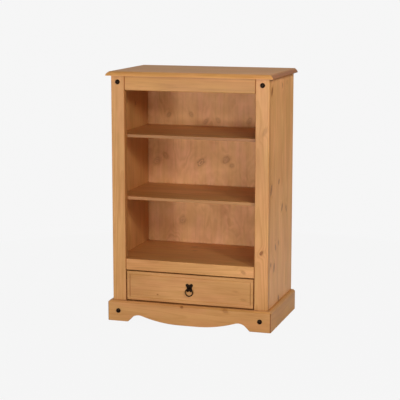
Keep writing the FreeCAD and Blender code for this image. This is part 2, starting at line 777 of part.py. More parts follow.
def tail_places():
    """Heights of the dovetails' middles above the lower edges of the drawer's sides."""
    return [f"({2 * number + 1} * drawer_side_height / {2 * DOVETAILS})"
            for number in range(DOVETAILS)]


def tails(sketch, start, lift, spare, past):
    """Dovetails that widen towards the front, from start - dovetail_length to past."""
    tip = f"({start} - dovetail_length - {spare})"
    flare = "((dovetail_half_end - dovetail_half_root) / dovetail_length)"
    for middle in tail_places():
        wide = f"(dovetail_half_end + {spare} * (1 + {flare}))"
        slim = f"(dovetail_half_root + {spare} - {past} * {flare})"
        centre = f"({middle} + {lift})"
        outline(sketch, [(tip, f"{centre} - {wide}"), (f"{start} + {past}", f"{centre} - {slim}"),
                         (f"{start} + {past}", f"{centre} + {slim}"), (tip, f"{centre} + {wide}")])


def make_drawer_front():
    """The front with its sunk field, blind dovetail sockets and the groove for the bottom."""
    body, _ = board("drawer_front", f"(2 * {DRAWER_X})", "drawer_front_thickness",
                    "drawer_front_height")
    field = new_sketch(body, "field", "XZ")
    rim = f"({DRAWER_X} - field_border)"
    rectangle(field, f"0 - {rim}", "field_border", rim, "drawer_front_height - field_border")
    sunk = pocket(body, field, "field_depth")
    bind(sunk, "TaperAngle", "-1 * atan(field_bevel / field_depth)")
    soften(body, "Fillet", sunk, "edge_round",
           lambda spot: near(spot.y, "0") and not is_on_field(spot, rim))
    lift = f"({DRAWER_BOX_Z} - {DRAWER_FRONT_Z})"
    for name, side in SIDES.items():
        sockets = new_sketch(body, f"{name}_sockets", "YZ", f"{side} * {DRAWER_X}")
        tails(sockets, "drawer_front_thickness", lift, "glue_gap", CUT_MARGIN)
        pocket(body, sockets, "drawer_side_thickness", reverse=side == LEFT)
    groove = new_sketch(body, "groove", "XZ", "drawer_front_thickness")
    end = f"({DRAWER_INNER_X} + groove_depth)"
    low = f"({lift} + drawer_bottom_lift)"
    rectangle(groove, f"0 - {end}", f"{low} - glue_gap",
              end, f"{low} + drawer_bottom_thickness + glue_gap")
    pocket(body, groove, "groove_depth", reverse=True)
    hole = new_sketch(body, "staple_hole", "XZ")
    circle(hole, "0", f"{HANDLE_Z} - {DRAWER_FRONT_Z}", "staple_shank + 2 * glue_gap")
    pocket(body, hole)
    place(body, "0", DRAWER_Y, DRAWER_FRONT_Z)


def is_on_field(spot, rim):
    """Whether a point of the drawer front lies on its sunk field or on the rim round it."""
    return (abs(spot.x) < value(rim) + TOLERANCE
            and value("field_border") - TOLERANCE < spot.z
            < value("drawer_front_height - field_border") + TOLERANCE)


def make_drawer_side(side, label):
    """A drawer side, with its tails in front, the bottom's groove and the back's housing."""
    inner = f"(0 - {side} * drawer_side_thickness / 2)"
    length = f"({DRAWER_DEPTH} - drawer_front_thickness)"
    body, _ = board(label, "drawer_side_thickness", length, "drawer_side_height")
    front = new_sketch(body, "tails", "YZ", inner)
    tails(front, "0", "0", "0", "0")
    pad(body, front, "drawer_side_thickness", reverse=side == LEFT)
    groove = new_sketch(body, "groove", "YZ", inner)
    top = "(drawer_bottom_lift + drawer_bottom_thickness)"
    rectangle(groove, f"0 - dovetail_length - {CUT_MARGIN}", "drawer_bottom_lift - glue_gap",
              f"{length} + {CUT_MARGIN}", f"{top} + glue_gap")
    pocket(body, groove, "groove_depth", reverse=side == RIGHT)
    housing = new_sketch(body, "housing", "YZ", inner)
    start = f"({DRAWER_BACK_Y} - drawer_front_thickness - glue_gap)"
    rectangle(housing, start, top, f"{start} + drawer_side_thickness + 2 * glue_gap",
              f"drawer_side_height + {CUT_MARGIN}")
    pocket(body, housing, "groove_depth", reverse=side == RIGHT)
    place(body, f"{side} * ({DRAWER_X} - drawer_side_thickness / 2)",
          f"{DRAWER_Y} + drawer_front_thickness", DRAWER_BOX_Z)


def bottom_screw_places():
    places = spaced("bottom_screw_inset", f"(2 * {DRAWER_INNER_X})", BOTTOM_SCREWS)
    return [f"({across} - {DRAWER_INNER_X})" for across in places]


def make_drawer_back():
    """The back, housed in the sides, and the bottom that slides in below it."""
    width = f"(2 * ({DRAWER_INNER_X} + groove_depth - glue_gap))"
    under = "(drawer_bottom_lift + drawer_bottom_thickness)"
    back, _ = board("drawer_back", width, "drawer_side_thickness",
                    f"(drawer_side_height - {under} - drawer_back_drop)")
    bores = new_sketch(back, "screw_bores", "XY")
    for across in bottom_screw_places():
        circle(bores, across, "drawer_side_thickness / 2", "bottom_screw_diameter + 2 * glue_gap")
    pocket(back, bores, "screw_bite + bore_spare", reverse=True)
    place(back, "0", f"{DRAWER_Y} + {DRAWER_BACK_Y}", f"{DRAWER_BOX_Z} + {under}")

    start = "(drawer_front_thickness - groove_depth + glue_gap)"
    rear = f"({DRAWER_BACK_Y} + drawer_side_thickness)"
    bottom, _ = board("drawer_bottom", width, f"({rear} - {start})", "drawer_bottom_thickness")
    holes = new_sketch(bottom, "screw_holes", "XY")
    depth = f"({rear} - drawer_side_thickness / 2 - {start})"
    for across in bottom_screw_places():
        circle(holes, across, depth, "bottom_screw_diameter + 2 * glue_gap")
    pocket(bottom, holes, reverse=True)
    place(bottom, "0", f"{DRAWER_Y} + {start}", f"{DRAWER_BOX_Z} + drawer_bottom_lift")

    screws = make_screws("drawer_bottom_screws", "XY",
                         [(across, "0") for across in bottom_screw_places()],
                         "drawer_bottom_thickness + screw_bite", "bottom_screw")
    place(screws, "0", f"{DRAWER_Y} + {rear} - drawer_side_thickness / 2",
          f"{DRAWER_BOX_Z} + drawer_bottom_lift")


# ---------------------------------------------------------------- handle

def touching(centre, radius, other, other_radius):
    """Where a circle touches another one outside it."""
    share = f"({radius} / ({radius} + {other_radius}))"
    return tuple(f"({near_one} + ({far_one} - {near_one}) * {share})"
                 for near_one, far_one in zip(centre, other))


def make_backplate():
    """The iron plate behind the ring: two ears, a waist and two lobes, all tangent arcs."""
    ear = ("ear_offset", "ear_rise")
    lobe = ("lobe_offset", "(0 - lobe_drop)")
    across = "(ear_offset - lobe_offset)"
    down = "(ear_rise + lobe_drop)"
    span = f"sqrt({across} ^ 2 + {down} ^ 2)"
    ear_reach = "(ear_radius + waist_radius)"
    lobe_reach = "(lobe_radius + waist_radius)"
    along = f"(({ear_reach} ^ 2 - {lobe_reach} ^ 2 + {span} ^ 2) / (2 * {span}))"
    aside = f"sqrt({ear_reach} ^ 2 - {along} ^ 2)"
    waist = (f"(ear_offset + ({aside} * {down} - {along} * {across}) / {span})",
             f"(ear_rise - ({along} * {down} + {aside} * {across}) / {span})")
    high = ("0", "(ear_rise + sqrt((ear_radius + ear_notch_radius) ^ 2 - ear_offset ^ 2))")
    low = ("0", "(0 - lobe_drop - sqrt((lobe_radius + lobe_notch_radius) ^ 2 - lobe_offset ^ 2))")
    right = [touching(ear, "ear_radius", high, "ear_notch_radius"),
             touching(ear, "ear_radius", waist, "waist_radius"),
             touching(lobe, "lobe_radius", waist, "waist_radius"),
             touching(lobe, "lobe_radius", low, "lobe_notch_radius")]
    left = [(f"(0 - {x})", z) for x, z in reversed(right)]
    centres = [(ear, "ear_radius", -1), (waist, "waist_radius", 1), (lobe, "lobe_radius", -1),
               (low, "lobe_notch_radius", 1)]
    mirrored = [((f"(0 - {x})", z), radius, turn) for (x, z), radius, turn in centres[2::-1]]
    arcs = centres + mirrored + [(high, "ear_notch_radius", 1)]
    body = new_body("ring_backplate")
    plan = new_sketch(body, "plan", "XZ")
    outline(plan, right + left, dict(enumerate(arcs)))
    circle(plan, "0", "0", "staple_shank + 2 * glue_gap")
    pad(body, plan, "plate_thickness")
    place(body, "0", FIELD_Y, HANDLE_Z)


def make_ring_and_staple():
    """The ring, and the eyed staple it swings in, whose shank passes through the drawer front."""
    ring = new_body("ring_pull")
    section = new_sketch(ring, "section", "YZ")
    polygon(section, "0", RING_RADIUS, "ring_wire", WIRE_CORNER_COUNT)
    turn(ring, section, "H_Axis")
    place(ring, "0", PIVOT_Y, f"{HANDLE_Z} - {RING_RADIUS}")

    staple = new_body("ring_staple")
    section = new_sketch(staple, "section", "XY")
    polygon(section, "0", EYE_RADIUS, "staple_wire", WIRE_CORNER_COUNT)
    turn(staple, section, "H_Axis")
    shank = new_sketch(staple, "shank", "XZ", EYE_RADIUS)
    circle(shank, "0", "0", "staple_shank")
    pad(staple, shank, "staple_wire / 2 + plate_thickness + drawer_front_thickness - field_depth"
                       " + washer_thickness + nut_thickness + shank_spare", reverse=True)
    place(staple, "0", PIVOT_Y, HANDLE_Z)


def make_washer_and_nut():
    back = f"({DRAWER_Y} + drawer_front_thickness)"
    bore = "staple_shank + 2 * glue_gap"
    washer = new_body("staple_washer")
    ring = new_sketch(washer, "plan", "XZ")
    circle(ring, "0", "0", "washer_diameter")
    circle(ring, "0", "0", bore)
    pad(washer, ring, "washer_thickness", reverse=True)
    place(washer, "0", back, HANDLE_Z)
    nut = new_body("staple_nut")
    hexagon = new_sketch(nut, "plan", "XZ")
    polygon(hexagon, "0", "0", "(2 * nut_width / sqrt(3))", SCREW_CORNER_COUNT)
    circle(hexagon, "0", "0", bore)
    pad(nut, hexagon, "nut_thickness", reverse=True)
    place(nut, "0", f"{back} + washer_thickness", HANDLE_Z)


# ---------------------------------------------------------------- build and export

def build():
    fill_sheet()
    for name, side in SIDES.items():
        make_side_panel(side, f"{name}_side_panel")
        make_stile(side, f"{name}_front_stile")
        make_cleat(side, f"{name}_top_cleat")
        make_plinth_side(side, f"plinth_{name}")
        make_drawer_way(name, side)
        make_drawer_side(side, f"drawer_{name}_side")
        stud_x = f"{side} * {STILE_X}"
        make_stud(f"stud_top_{name}", stud_x, FRONT_Y, "case_height - stud_drop")
        make_stud(f"stud_bottom_{name}", stud_x, f"{FRONT_Y} - plinth_thickness", "stud_rise")
    for label, (low, height, setback) in FRONT_RAILS.items():
        make_front_rail(label, low, height, setback)
    for level, label in enumerate(("deck_board", "lower_shelf", "upper_shelf")):
        make_shelf(label, level)
    make_back()
    make_top()
    make_plinth_front()
    make_all_screws()
    make_drawer_stops()
    make_drawer_front()
    make_drawer_back()
    make_backplate()
    make_ring_and_staple()
    make_washer_and_nut()
    doc.recompute()


def check():
    """Stops the build when an object failed or a piece's shape is missing or broken."""
    failed = [item.Name for item in doc.Objects if {"Invalid", "Error"} & set(item.State)]
    broken = [item.Label for item in pieces if item.Shape.isNull() or not item.Shape.isValid()]
    if failed or broken:
        raise RuntimeError(f"failed objects {failed}, broken pieces {broken}")


def export():
    os.makedirs("parts", exist_ok=True)
    for item in pieces:
        item.Shape.exportStep(os.path.join("parts", f"{item.Label}.step"))


build()
check()
export()
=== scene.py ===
"""Finishes the pine bookcase: waxed knotty pine outside, bare pine inside, black forged iron.

Lengths are in metres, and in millimetres where a comment says so. +X is to the right seen from
the front, +Y to the back and +Z up.
"""

import json
import math
from collections import namedtuple

import bmesh
import bpy
from mathutils import Matrix, Vector, noise


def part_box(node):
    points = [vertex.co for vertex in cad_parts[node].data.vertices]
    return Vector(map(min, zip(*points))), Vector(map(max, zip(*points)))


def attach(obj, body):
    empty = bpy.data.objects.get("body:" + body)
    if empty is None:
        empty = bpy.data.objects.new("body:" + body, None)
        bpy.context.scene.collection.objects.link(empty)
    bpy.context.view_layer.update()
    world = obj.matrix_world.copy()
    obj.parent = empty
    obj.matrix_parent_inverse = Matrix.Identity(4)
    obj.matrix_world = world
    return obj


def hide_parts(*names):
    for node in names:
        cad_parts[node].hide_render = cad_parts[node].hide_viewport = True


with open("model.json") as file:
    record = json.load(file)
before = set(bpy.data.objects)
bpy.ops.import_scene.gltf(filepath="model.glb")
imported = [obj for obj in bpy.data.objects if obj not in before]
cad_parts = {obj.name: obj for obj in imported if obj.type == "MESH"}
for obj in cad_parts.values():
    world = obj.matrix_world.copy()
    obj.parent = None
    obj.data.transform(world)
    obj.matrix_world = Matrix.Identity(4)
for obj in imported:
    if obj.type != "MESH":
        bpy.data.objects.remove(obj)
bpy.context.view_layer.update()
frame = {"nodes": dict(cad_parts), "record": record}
MM = 0.001
AXES = {"X": Vector((1, 0, 0)), "Y": Vector((0, 1, 0)), "Z": Vector((0, 0, 1))}


def corners_of(node):
    """A CAD node's lowest and highest corner."""
    return [Vector(corner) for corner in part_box(node)]


# Where the front's pieces meet, in mm: the stiles' backs, their inner edges, the sides' outer
# faces and the ends of the plinth.
STILE_LOW, STILE_HIGH = (corner / MM for corner in corners_of("right_front_stile"))
STILE_INSIDE, SIDE_OUTSIDE, STILE_BACK = STILE_LOW.x, STILE_HIGH.x, STILE_HIGH.y
PLINTH_END = corners_of("plinth_front")[1].x / MM

# The studio: how bright the backdrop is to the eye, how much of it the case's sheen mirrors, the
# even light from all round, how even the floor looks and how much light it throws back.
WHITE = (1, 1, 1, 1)
BACKDROP = 0.92
BACKDROP_IN_GLOSS = 0.45
AMBIENT = 0.01
FLOOR_EVEN = 0.985
FLOOR_BOUNCE = 0.9
FLOOR_RADIUS = 60.0
FLOOR_DROP = 0.5 * MM

# Each lamp: azimuth and elevation in degrees, distance, size, and the brightness of a white card
# at the height that all of them are aimed at.
LAMP_AIM = 0.6
LAMPS = {
    "key": (46, 24, 3.4, 0.35, 0.265),
    "beside key": (31, 22, 3.4, 0.25, 0.12),
    "front": (3, 3, 5.0, 0.8, 0.16),
    "front left": (-15, 2, 5.0, 0.8, 0.205),
    "side": (100, 40, 5.0, 0.8, 0.32),
    "behind": (235, 20, 5.0, 2.0, 0.3),
    "left": (275, 12, 5.0, 2.0, 0.25),
}

# The camera: its focal length in pixels of a picture 400 wide, its turn and tilt in degrees.
SENSOR = 36.0
FOCAL_PIXELS, PICTURE_PIXELS = 1300.2, 400
CAMERA_YAW, CAMERA_PITCH = 17.55, 9.75
CAMERA_PLACE = (1.8358, -5.8504, 1.6167)


# ---------------------------------------------------------------- node trees

def fill(tree, sockets, inputs):
    """Sets a node's inputs to plain values or links them to other nodes' sockets."""
    for name, value in inputs.items():
        if isinstance(value, bpy.types.NodeSocket):
            tree.links.new(value, sockets[name])
        else:
            sockets[name].default_value = value


def add(tree, kind, inputs=None, **settings):
    """A new node with its settings and inputs."""
    node = tree.nodes.new(kind)
    for name, value in settings.items():
        setattr(node, name, value)
    fill(tree, node.inputs, inputs or {})
    return node


def maths(tree, operation, first, second=0.0, third=0.0):
    """A Math node's result."""
    node = add(tree, "ShaderNodeMath", {0: first, 1: second, 2: third}, operation=operation)
    return node.outputs[0]


def vectors(tree, operation, first, second=(0, 0, 0)):
    """A Vector Math node's result."""
    node = add(tree, "ShaderNodeVectorMath", {0: first, 1: second}, operation=operation)
    return node.outputs["Value" if operation in ("LENGTH", "DOT_PRODUCT") else "Vector"]


def ramp(tree, value, low, high, start=0.0, end=1.0):
    """A smooth step of a value from start to end between low and high."""
    node = add(tree, "ShaderNodeMapRange",
               {"Value": value, "From Min": low, "From Max": high, "To Min": start, "To Max": end},
               interpolation_type="SMOOTHSTEP")
    return node.outputs["Result"]


def colour_mix(tree, amount, first, second, how="MIX"):
    """The first colour turned into the second by an amount from 0 to 1."""
    node = tree.nodes.new("ShaderNodeMix")
    node.data_type, node.blend_type, node.clamp_factor = "RGBA", how, True
    sockets = {socket.identifier: socket for socket in node.inputs}
    fill(tree, sockets, {"Factor_Float": amount, "A_Color": first, "B_Color": second})
    return next(socket for socket in node.outputs if socket.identifier == "Result_Color")


def clouds(tree, vector, scale, detail=2.0, roughness=0.5, seed=0.0):
    """Soft noise from 0 to 1."""
    node = add(tree, "ShaderNodeTexNoise",
               {"Vector": vector, "W": seed, "Scale": scale, "Detail": detail,
                "Roughness": roughness}, noise_dimensions="4D")
    return node.outputs["Fac"]


def stretched(tree, vector, across, along):
    """A board's coordinates for noise of so many waves a metre across and along its grain (Z)."""
    return vectors(tree, "MULTIPLY", vector, (across, across, along))


VALUE, VECTOR, COLOUR = "NodeSocketFloat", "NodeSocketVector", "NodeSocketColor"


def new_group(name, inputs, outputs):
    """A shader group: inputs maps its sockets to their defaults, and outputs to their kinds."""
    tree = bpy.data.node_groups.new(name, "ShaderNodeTree")
    for label, default in inputs.items():
        kind = VALUE if isinstance(default, float) else {3: VECTOR, 4: COLOUR}[len(default)]
        socket = tree.interface.new_socket(label, in_out="INPUT", socket_type=kind)
        socket.default_value = default
    for label, kind in outputs.items():
        tree.interface.new_socket(label, in_out="OUTPUT", socket_type=kind)
    return tree, tree.nodes.new("NodeGroupInput").outputs, tree.nodes.new("NodeGroupOutput")


def use(tree, group, inputs=None):
    """Places a group in a tree and gives its outputs."""
    node = tree.nodes.new("ShaderNodeGroup")
    node.node_tree = group
    fill(tree, node.inputs, inputs or {})
    return node.outputs


# ---------------------------------------------------------------- what wood is made of

def make_knot_group():
    """One branch knot through a board, added to those before it.

    Board coordinates run along the grain in Z, across it in Y and through the board in X. Heart
    is the knot itself, Rim the tint round it, and Swirl how far it pushes the rings away. Ringed
    is how far it shows its own rings: a peeled veneer does, solid wood has a dark check."""
    tree, given, end = new_group(
        "knot", {"Board": (0, 0, 0), "Centre": (0, 0, 0), "Radius": 0.008, "Stretch": 1.4,
                 "Lean": 0.0, "Depth": 1.0, "Ringed": 0.2, "Heart": 0.0, "Rim": 0.0, "Swirl": 0.0},
        {"Heart": VALUE, "Rim": VALUE, "Swirl": VALUE})
    away = vectors(tree, "SUBTRACT", given["Board"], given["Centre"])
    parts = add(tree, "ShaderNodeSeparateXYZ", {"Vector": away}).outputs
    leaning = maths(tree, "MULTIPLY_ADD", parts["Z"], given["Lean"], parts["Y"])
    across = maths(tree, "DIVIDE", leaning, given["Radius"])
    long_radius = maths(tree, "MULTIPLY", given["Radius"], given["Stretch"])
    along = maths(tree, "DIVIDE", parts["Z"], long_radius)
    flat = add(tree, "ShaderNodeCombineXYZ", {"Y": across, "Z": along}).outputs["Vector"]
    unlike = vectors(tree, "MULTIPLY", given["Centre"], (97.0, 97.0, 97.0))
    cloudy = clouds(tree, vectors(tree, "ADD", flat, unlike), 1.6, 3.0, 0.6, 4.0)
    ragged = maths(tree, "SUBTRACT", cloudy, 0.5)
    reach = vectors(tree, "LENGTH", flat)
    edge = maths(tree, "MULTIPLY_ADD", ragged, 1.3, reach)
    heart = ramp(tree, edge, 1.0, 0.72)
    wave = maths(tree, "PINGPONG", maths(tree, "MULTIPLY", edge, 3.2), 1.0)
    rings = ramp(tree, wave, 0.35, 0.85)
    between = maths(tree, "MULTIPLY", maths(tree, "SUBTRACT", rings, 1.0), given["Ringed"])
    heart = maths(tree, "MULTIPLY", heart, maths(tree, "ADD", between, 1.0))
    bent = maths(tree, "MULTIPLY_ADD", ragged, 0.5, across)
    check = maths(tree, "MULTIPLY", ramp(tree, maths(tree, "ABSOLUTE", bent), 0.2, 0.04),
                  ramp(tree, maths(tree, "ABSOLUTE", along), 0.75, 0.45))
    check = maths(tree, "MULTIPLY", check, ramp(tree, given["Ringed"], 0.6, 0.3))
    heart = maths(tree, "MAXIMUM", heart, check)
    bark = maths(tree, "SUBTRACT", ramp(tree, edge, 0.6, 0.82), ramp(tree, edge, 0.92, 1.08))
    heart = maths(tree, "MULTIPLY_ADD", bark, 0.5, heart)
    heart = maths(tree, "MULTIPLY", maths(tree, "MINIMUM", heart, 1.0), given["Depth"])
    rim = maths(tree, "SUBTRACT", ramp(tree, edge, 0.8, 1.0), ramp(tree, edge, 1.0, 2.1))
    square = maths(tree, "POWER", reach, 2.0)
    falling = maths(tree, "EXPONENT", maths(tree, "MULTIPLY", square, -0.16))
    swirl = maths(tree, "MULTIPLY", falling, maths(tree, "MULTIPLY", given["Radius"], 1.2))
    fill(tree, end.inputs, {"Heart": maths(tree, "MAXIMUM", given["Heart"], heart),
                            "Rim": maths(tree, "MAXIMUM", given["Rim"], rim),
                            "Swirl": maths(tree, "ADD", given["Swirl"], swirl)})
    return tree


def make_stave_group():
    """A wide panel glued up from narrower staves, each from its own part of the log."""
    tree, given, end = new_group("staves", {"Board": (0, 0, 0), "Width": 0.1, "Seed": 0.0},
                                 {"Board": VECTOR, "Tone": VALUE, "Glue line": VALUE})
    parts = add(tree, "ShaderNodeSeparateXYZ", {"Vector": given["Board"]}).outputs
    start = maths(tree, "MULTIPLY", given["Seed"], 0.37)
    count = maths(tree, "ADD", maths(tree, "DIVIDE", parts["Y"], given["Width"]), start)
    number = maths(tree, "MULTIPLY_ADD", given["Seed"], 13.0, maths(tree, "FLOOR", count))
    dice = add(tree, "ShaderNodeTexWhiteNoise", {"W": number}, noise_dimensions="1D").outputs
    within = maths(tree, "MULTIPLY", maths(tree, "SUBTRACT", maths(tree, "FRACT", count), 0.5),
                   given["Width"])
    own = add(tree, "ShaderNodeCombineXYZ", {"X": parts["X"], "Y": within, "Z": parts["Z"]})
    thrown = vectors(tree, "SUBTRACT", dice["Color"], (0.5, 0.5, 0.5))
    moved = vectors(tree, "MULTIPLY", thrown, (0.03, 0.09, 4.0))
    from_joint = maths(tree, "MULTIPLY", maths(tree, "PINGPONG", count, 0.5), given["Width"])
    fill(tree, end.inputs, {"Board": vectors(tree, "ADD", own.outputs["Vector"], moved),
                            "Tone": dice["Value"],
                            "Glue line": ramp(tree, from_joint, 0.6 * MM, 0.1 * MM)})
    return tree


def make_ring_group():
    """Growth rings round a pith line that runs along Z, with streaks and fibres along it.

    Wander is how far the rings stray, Softness blurs them, and Flow shortens their waves."""
    tree, given, end = new_group(
        "growth rings", {"Board": (0, 0, 0), "Swirl": 0.0, "Ring width": 0.005, "Wander": 0.02,
                         "Softness": 0.0, "Seed": 0.0, "Flow": 1.0},
        {"Latewood": VALUE, "Ring tone": VALUE, "Streak": VALUE, "Cloud": VALUE,
         "Rosiness": VALUE, "Fibre": VALUE})
    board, seed = given["Board"], given["Seed"]
    flow = add(tree, "ShaderNodeCombineXYZ", {"X": 1.0, "Y": 1.0, "Z": given["Flow"]})
    flowing = vectors(tree, "MULTIPLY", board, flow.outputs["Vector"])
    slow = clouds(tree, stretched(tree, flowing, 7.0, 1.1), 1.0, 2.0, 0.45, seed)
    quick = clouds(tree, stretched(tree, flowing, 40.0, 5.0), 1.0, 2.0, 0.5, seed)
    wander = maths(tree, "MULTIPLY_ADD", quick, 0.1, maths(tree, "SUBTRACT", slow, 0.55))
    wander = maths(tree, "MULTIPLY", wander, given["Wander"])
    from_pith = vectors(tree, "LENGTH", stretched(tree, board, 1.0, 0.0))
    radius = maths(tree, "ADD", maths(tree, "ADD", from_pith, wander), given["Swirl"])
    count = maths(tree, "DIVIDE", radius, given["Ring width"])
    within = maths(tree, "FRACT", count)
    crisp = maths(tree, "SUBTRACT", ramp(tree, within, 0.25, 0.9), ramp(tree, within, 0.93, 1.0))
    soft = maths(tree, "SUBTRACT", ramp(tree, within, 0.1, 0.65), ramp(tree, within, 0.65, 1.0))
    softer = maths(tree, "MULTIPLY", maths(tree, "SUBTRACT", soft, crisp), given["Softness"])
    shown = ramp(tree, clouds(tree, stretched(tree, board, 13.0, 1.8), 1.0, 2.0, 0.5, seed),
                 0.3, 0.65, 0.3, 1.0)
    latewood = maths(tree, "MULTIPLY", maths(tree, "ADD", crisp, softer), shown)
    year = maths(tree, "ADD", maths(tree, "FLOOR", count), seed)
    tone = add(tree, "ShaderNodeTexWhiteNoise", {"W": year}, noise_dimensions="1D")
    fill(tree, end.inputs, {
        "Latewood": latewood, "Ring tone": tone.outputs["Value"],
        "Streak": clouds(tree, stretched(tree, board, 75.0, 3.0), 1.0, 3.0, 0.6, seed),
        "Cloud": clouds(tree, stretched(tree, flowing, 11.0, 3.2), 1.0, 3.0, 0.55,
                        maths(tree, "ADD", seed, 7.0)),
        "Rosiness": clouds(tree, stretched(tree, board, 16.0, 4.5), 1.0, 2.0, 0.5,
                           maths(tree, "ADD", seed, 3.0)),
        "Fibre": clouds(tree, stretched(tree, board, 900.0, 22.0), 1.0, 2.0, 0.6, seed)})
    return tree


def make_arris_group():
    """Edges: a mask where a piece's own edges are near, and a normal that rounds them."""
    tree, given, end = new_group("arris", {"Radius": 0.0012}, {"Mask": VALUE, "Normal": VECTOR})
    rounded = add(tree, "ShaderNodeBevel", {"Radius": given["Radius"]}, samples=4).outputs["Normal"]
    flat = tree.nodes.new("ShaderNodeNewGeometry").outputs["Normal"]
    meeting = vectors(tree, "DOT_PRODUCT", rounded, flat)
    fill(tree, end.inputs, {"Mask": ramp(tree, meeting, 0.995, 0.85), "Normal": rounded})
    return tree


def make_grime_and_shade_group():
    """Old wax and dust where one piece meets another, and painted shade in its corners and joints."""
    tree, given, end = new_group("grime and painted shade", {"Reach": 0.007}, {"Mask": VALUE})
    open_sky = add(tree, "ShaderNodeAmbientOcclusion", {"Distance": given["Reach"]}, samples=6)
    # The occlusion mask paints shade where pieces meet and corners close in.
    fill(tree, end.inputs, {"Mask": ramp(tree, open_sky.outputs["AO"], 0.7, 0.25)})
    return tree


def make_level_group():
    """A band of the piece up to a level along one direction: an edge face, or a flush joint."""
    tree, given, end = new_group(
        "level", {"Place": (0, 0, 0), "Direction": (0, 1, 0), "Level": 0.0, "Reach": 0.001,
                  "Amount": 1.0, "Mask": 0.0}, {"Mask": VALUE})
    along = vectors(tree, "DOT_PRODUCT", given["Place"], given["Direction"])
    off = maths(tree, "ABSOLUTE", maths(tree, "SUBTRACT", along, given["Level"]))
    band = maths(tree, "MULTIPLY", ramp(tree, off, given["Reach"], 0.0), given["Amount"])
    fill(tree, end.inputs, {"Mask": maths(tree, "MAXIMUM", given["Mask"], band)})
    return tree


# How much of a change in light each channel takes; what a full soak of stain leaves of a colour,
# also used as painted shade on some edges; and the colour that rubbed edges tend to, also a
# painted highlight along them.
LIGHT_SHARES = {"Red": 0.75, "Green": 1.0, "Blue": 1.6}
STAIN_AND_SHADE_TINT = (0.42, 0.29, 0.2, 1)
WORN_AND_HIGHLIGHT = (1.0, 0.8, 0.55, 1)


def make_pine_group():
    """The colour, the roughness and the relief of pine from its figure.

    The figure comes first: what the rings, knots, edges and joints groups put out, the last with
    wax, dust and painted shade, and the darkened bands: end grain that took up more stain, and
    painted shade on some edges. Then come the finish's own colours and strengths."""
    tree, given, end = new_group(
        "pine", {"Latewood": 0.0, "Ring tone": 0.5, "Streak": 0.5, "Cloud": 0.5, "Rosiness": 0.5,
                 "Fibre": 0.5, "Heart": 0.0, "Rim": 0.0, "Arris": 0.0, "Grime and shade": 0.0, "Soak": 0.0,
                 "Tone": 1.0, "Stave tone": 0.5, "Earlywood colour": (0.6, 0.32, 0.13, 1),
                 "Rosy colour": (0.62, 0.28, 0.14, 1), "Latewood colour": (0.45, 0.2, 0.07, 1),
                 "Knot colour": (0.1, 0.035, 0.012, 1), "Grime and shade colour": (0.1, 0.035, 0.01, 1),
                 "Figure": 0.5, "Streaks": 0.6, "Mottle": 0.4, "Polish": 0.4},
        {"Color": COLOUR, "Roughness": VALUE, "Height": VALUE})
    strength = maths(tree, "MULTIPLY", given["Latewood"],
                     maths(tree, "MULTIPLY_ADD", given["Ring tone"], 0.8, 0.2))
    rosy = ramp(tree, given["Rosiness"], 0.38, 0.62)
    colour = colour_mix(tree, rosy, given["Earlywood colour"], given["Rosy colour"])
    colour = colour_mix(tree, maths(tree, "MULTIPLY", strength, given["Figure"]),
                        colour, given["Latewood colour"])
    dark_streak = maths(tree, "MULTIPLY", ramp(tree, given["Streak"], 0.42, 0.8), given["Streaks"])
    colour = colour_mix(tree, dark_streak, colour, given["Latewood colour"])
    cloudy = maths(tree, "MULTIPLY", maths(tree, "SUBTRACT", given["Cloud"], 0.5), given["Mottle"])
    stave = maths(tree, "SUBTRACT", given["Stave tone"], 0.5)
    fibre = maths(tree, "SUBTRACT", given["Fibre"], 0.5)
    light = maths(tree, "MULTIPLY_ADD", fibre, 0.14, maths(tree, "MULTIPLY_ADD", stave, 0.1, cloudy))
    shade = add(tree, "ShaderNodeCombineColor")
    for channel, share in LIGHT_SHARES.items():
        level = maths(tree, "MULTIPLY_ADD", light, share, 1.0)
        fill(tree, shade.inputs, {channel: maths(tree, "MULTIPLY", level, given["Tone"])})
    colour = colour_mix(tree, 1.0, colour, shade.outputs["Color"], "MULTIPLY")
    # Darkens end grain that took up more stain, and the edge bands given, which on the shelves' front
    # edges is painted shade.
    colour = colour_mix(tree, given["Soak"], colour, STAIN_AND_SHADE_TINT, "MULTIPLY")
    colour = colour_mix(tree, maths(tree, "MULTIPLY", given["Rim"], 0.45), colour,
                        given["Latewood colour"])
    colour = colour_mix(tree, maths(tree, "MULTIPLY", given["Heart"], 0.92), colour,
                        given["Knot colour"])
    # Lightens the edges: rubbed wear, and a painted highlight along them.
    worn_and_highlit = colour_mix(tree, 0.5, given["Earlywood colour"], WORN_AND_HIGHLIGHT)
    colour = colour_mix(tree, maths(tree, "MULTIPLY", given["Arris"], 0.22), colour, worn_and_highlit)
    # Darkens glue lines, corners and joints: wax and dust, painted shade in the corners and painted
    # shadow along flush joints.
    colour = colour_mix(tree, given["Grime and shade"], colour, given["Grime and shade colour"])
    rough = given["Polish"]
    for cause, change in (("Fibre", 0.12), ("Cloud", 0.1), ("Heart", -0.1), ("Grime and shade", 0.4)):
        rough = maths(tree, "MULTIPLY_ADD", given[cause], change, rough)
    height = maths(tree, "MULTIPLY_ADD", given["Fibre"], 0.35, maths(tree, "MULTIPLY", strength, 0.5))
    height = maths(tree, "MULTIPLY_ADD", given["Heart"], -0.8, height)
    fill(tree, end.inputs, {"Color": colour, "Roughness": rough, "Height": height})
    return tree


KNOT, STAVES, RINGS = make_knot_group(), make_stave_group(), make_ring_group()
ARRIS, GRIME_AND_SHADE, LEVEL = make_arris_group(), make_grime_and_shade_group(), make_level_group()
PINE = make_pine_group()

# A finish of wood: its colours and strengths in the pine group, the wax over it, how far knots
# show their own rings, and how far end grain soaked up stain.
Finish = namedtuple("Finish", "looks wax ringed end_soak")


def changed(finish, looks, **settings):
    """A finish like another one, with some of its looks and settings changed."""
    return finish._replace(looks={**finish.looks, **looks}, **settings)


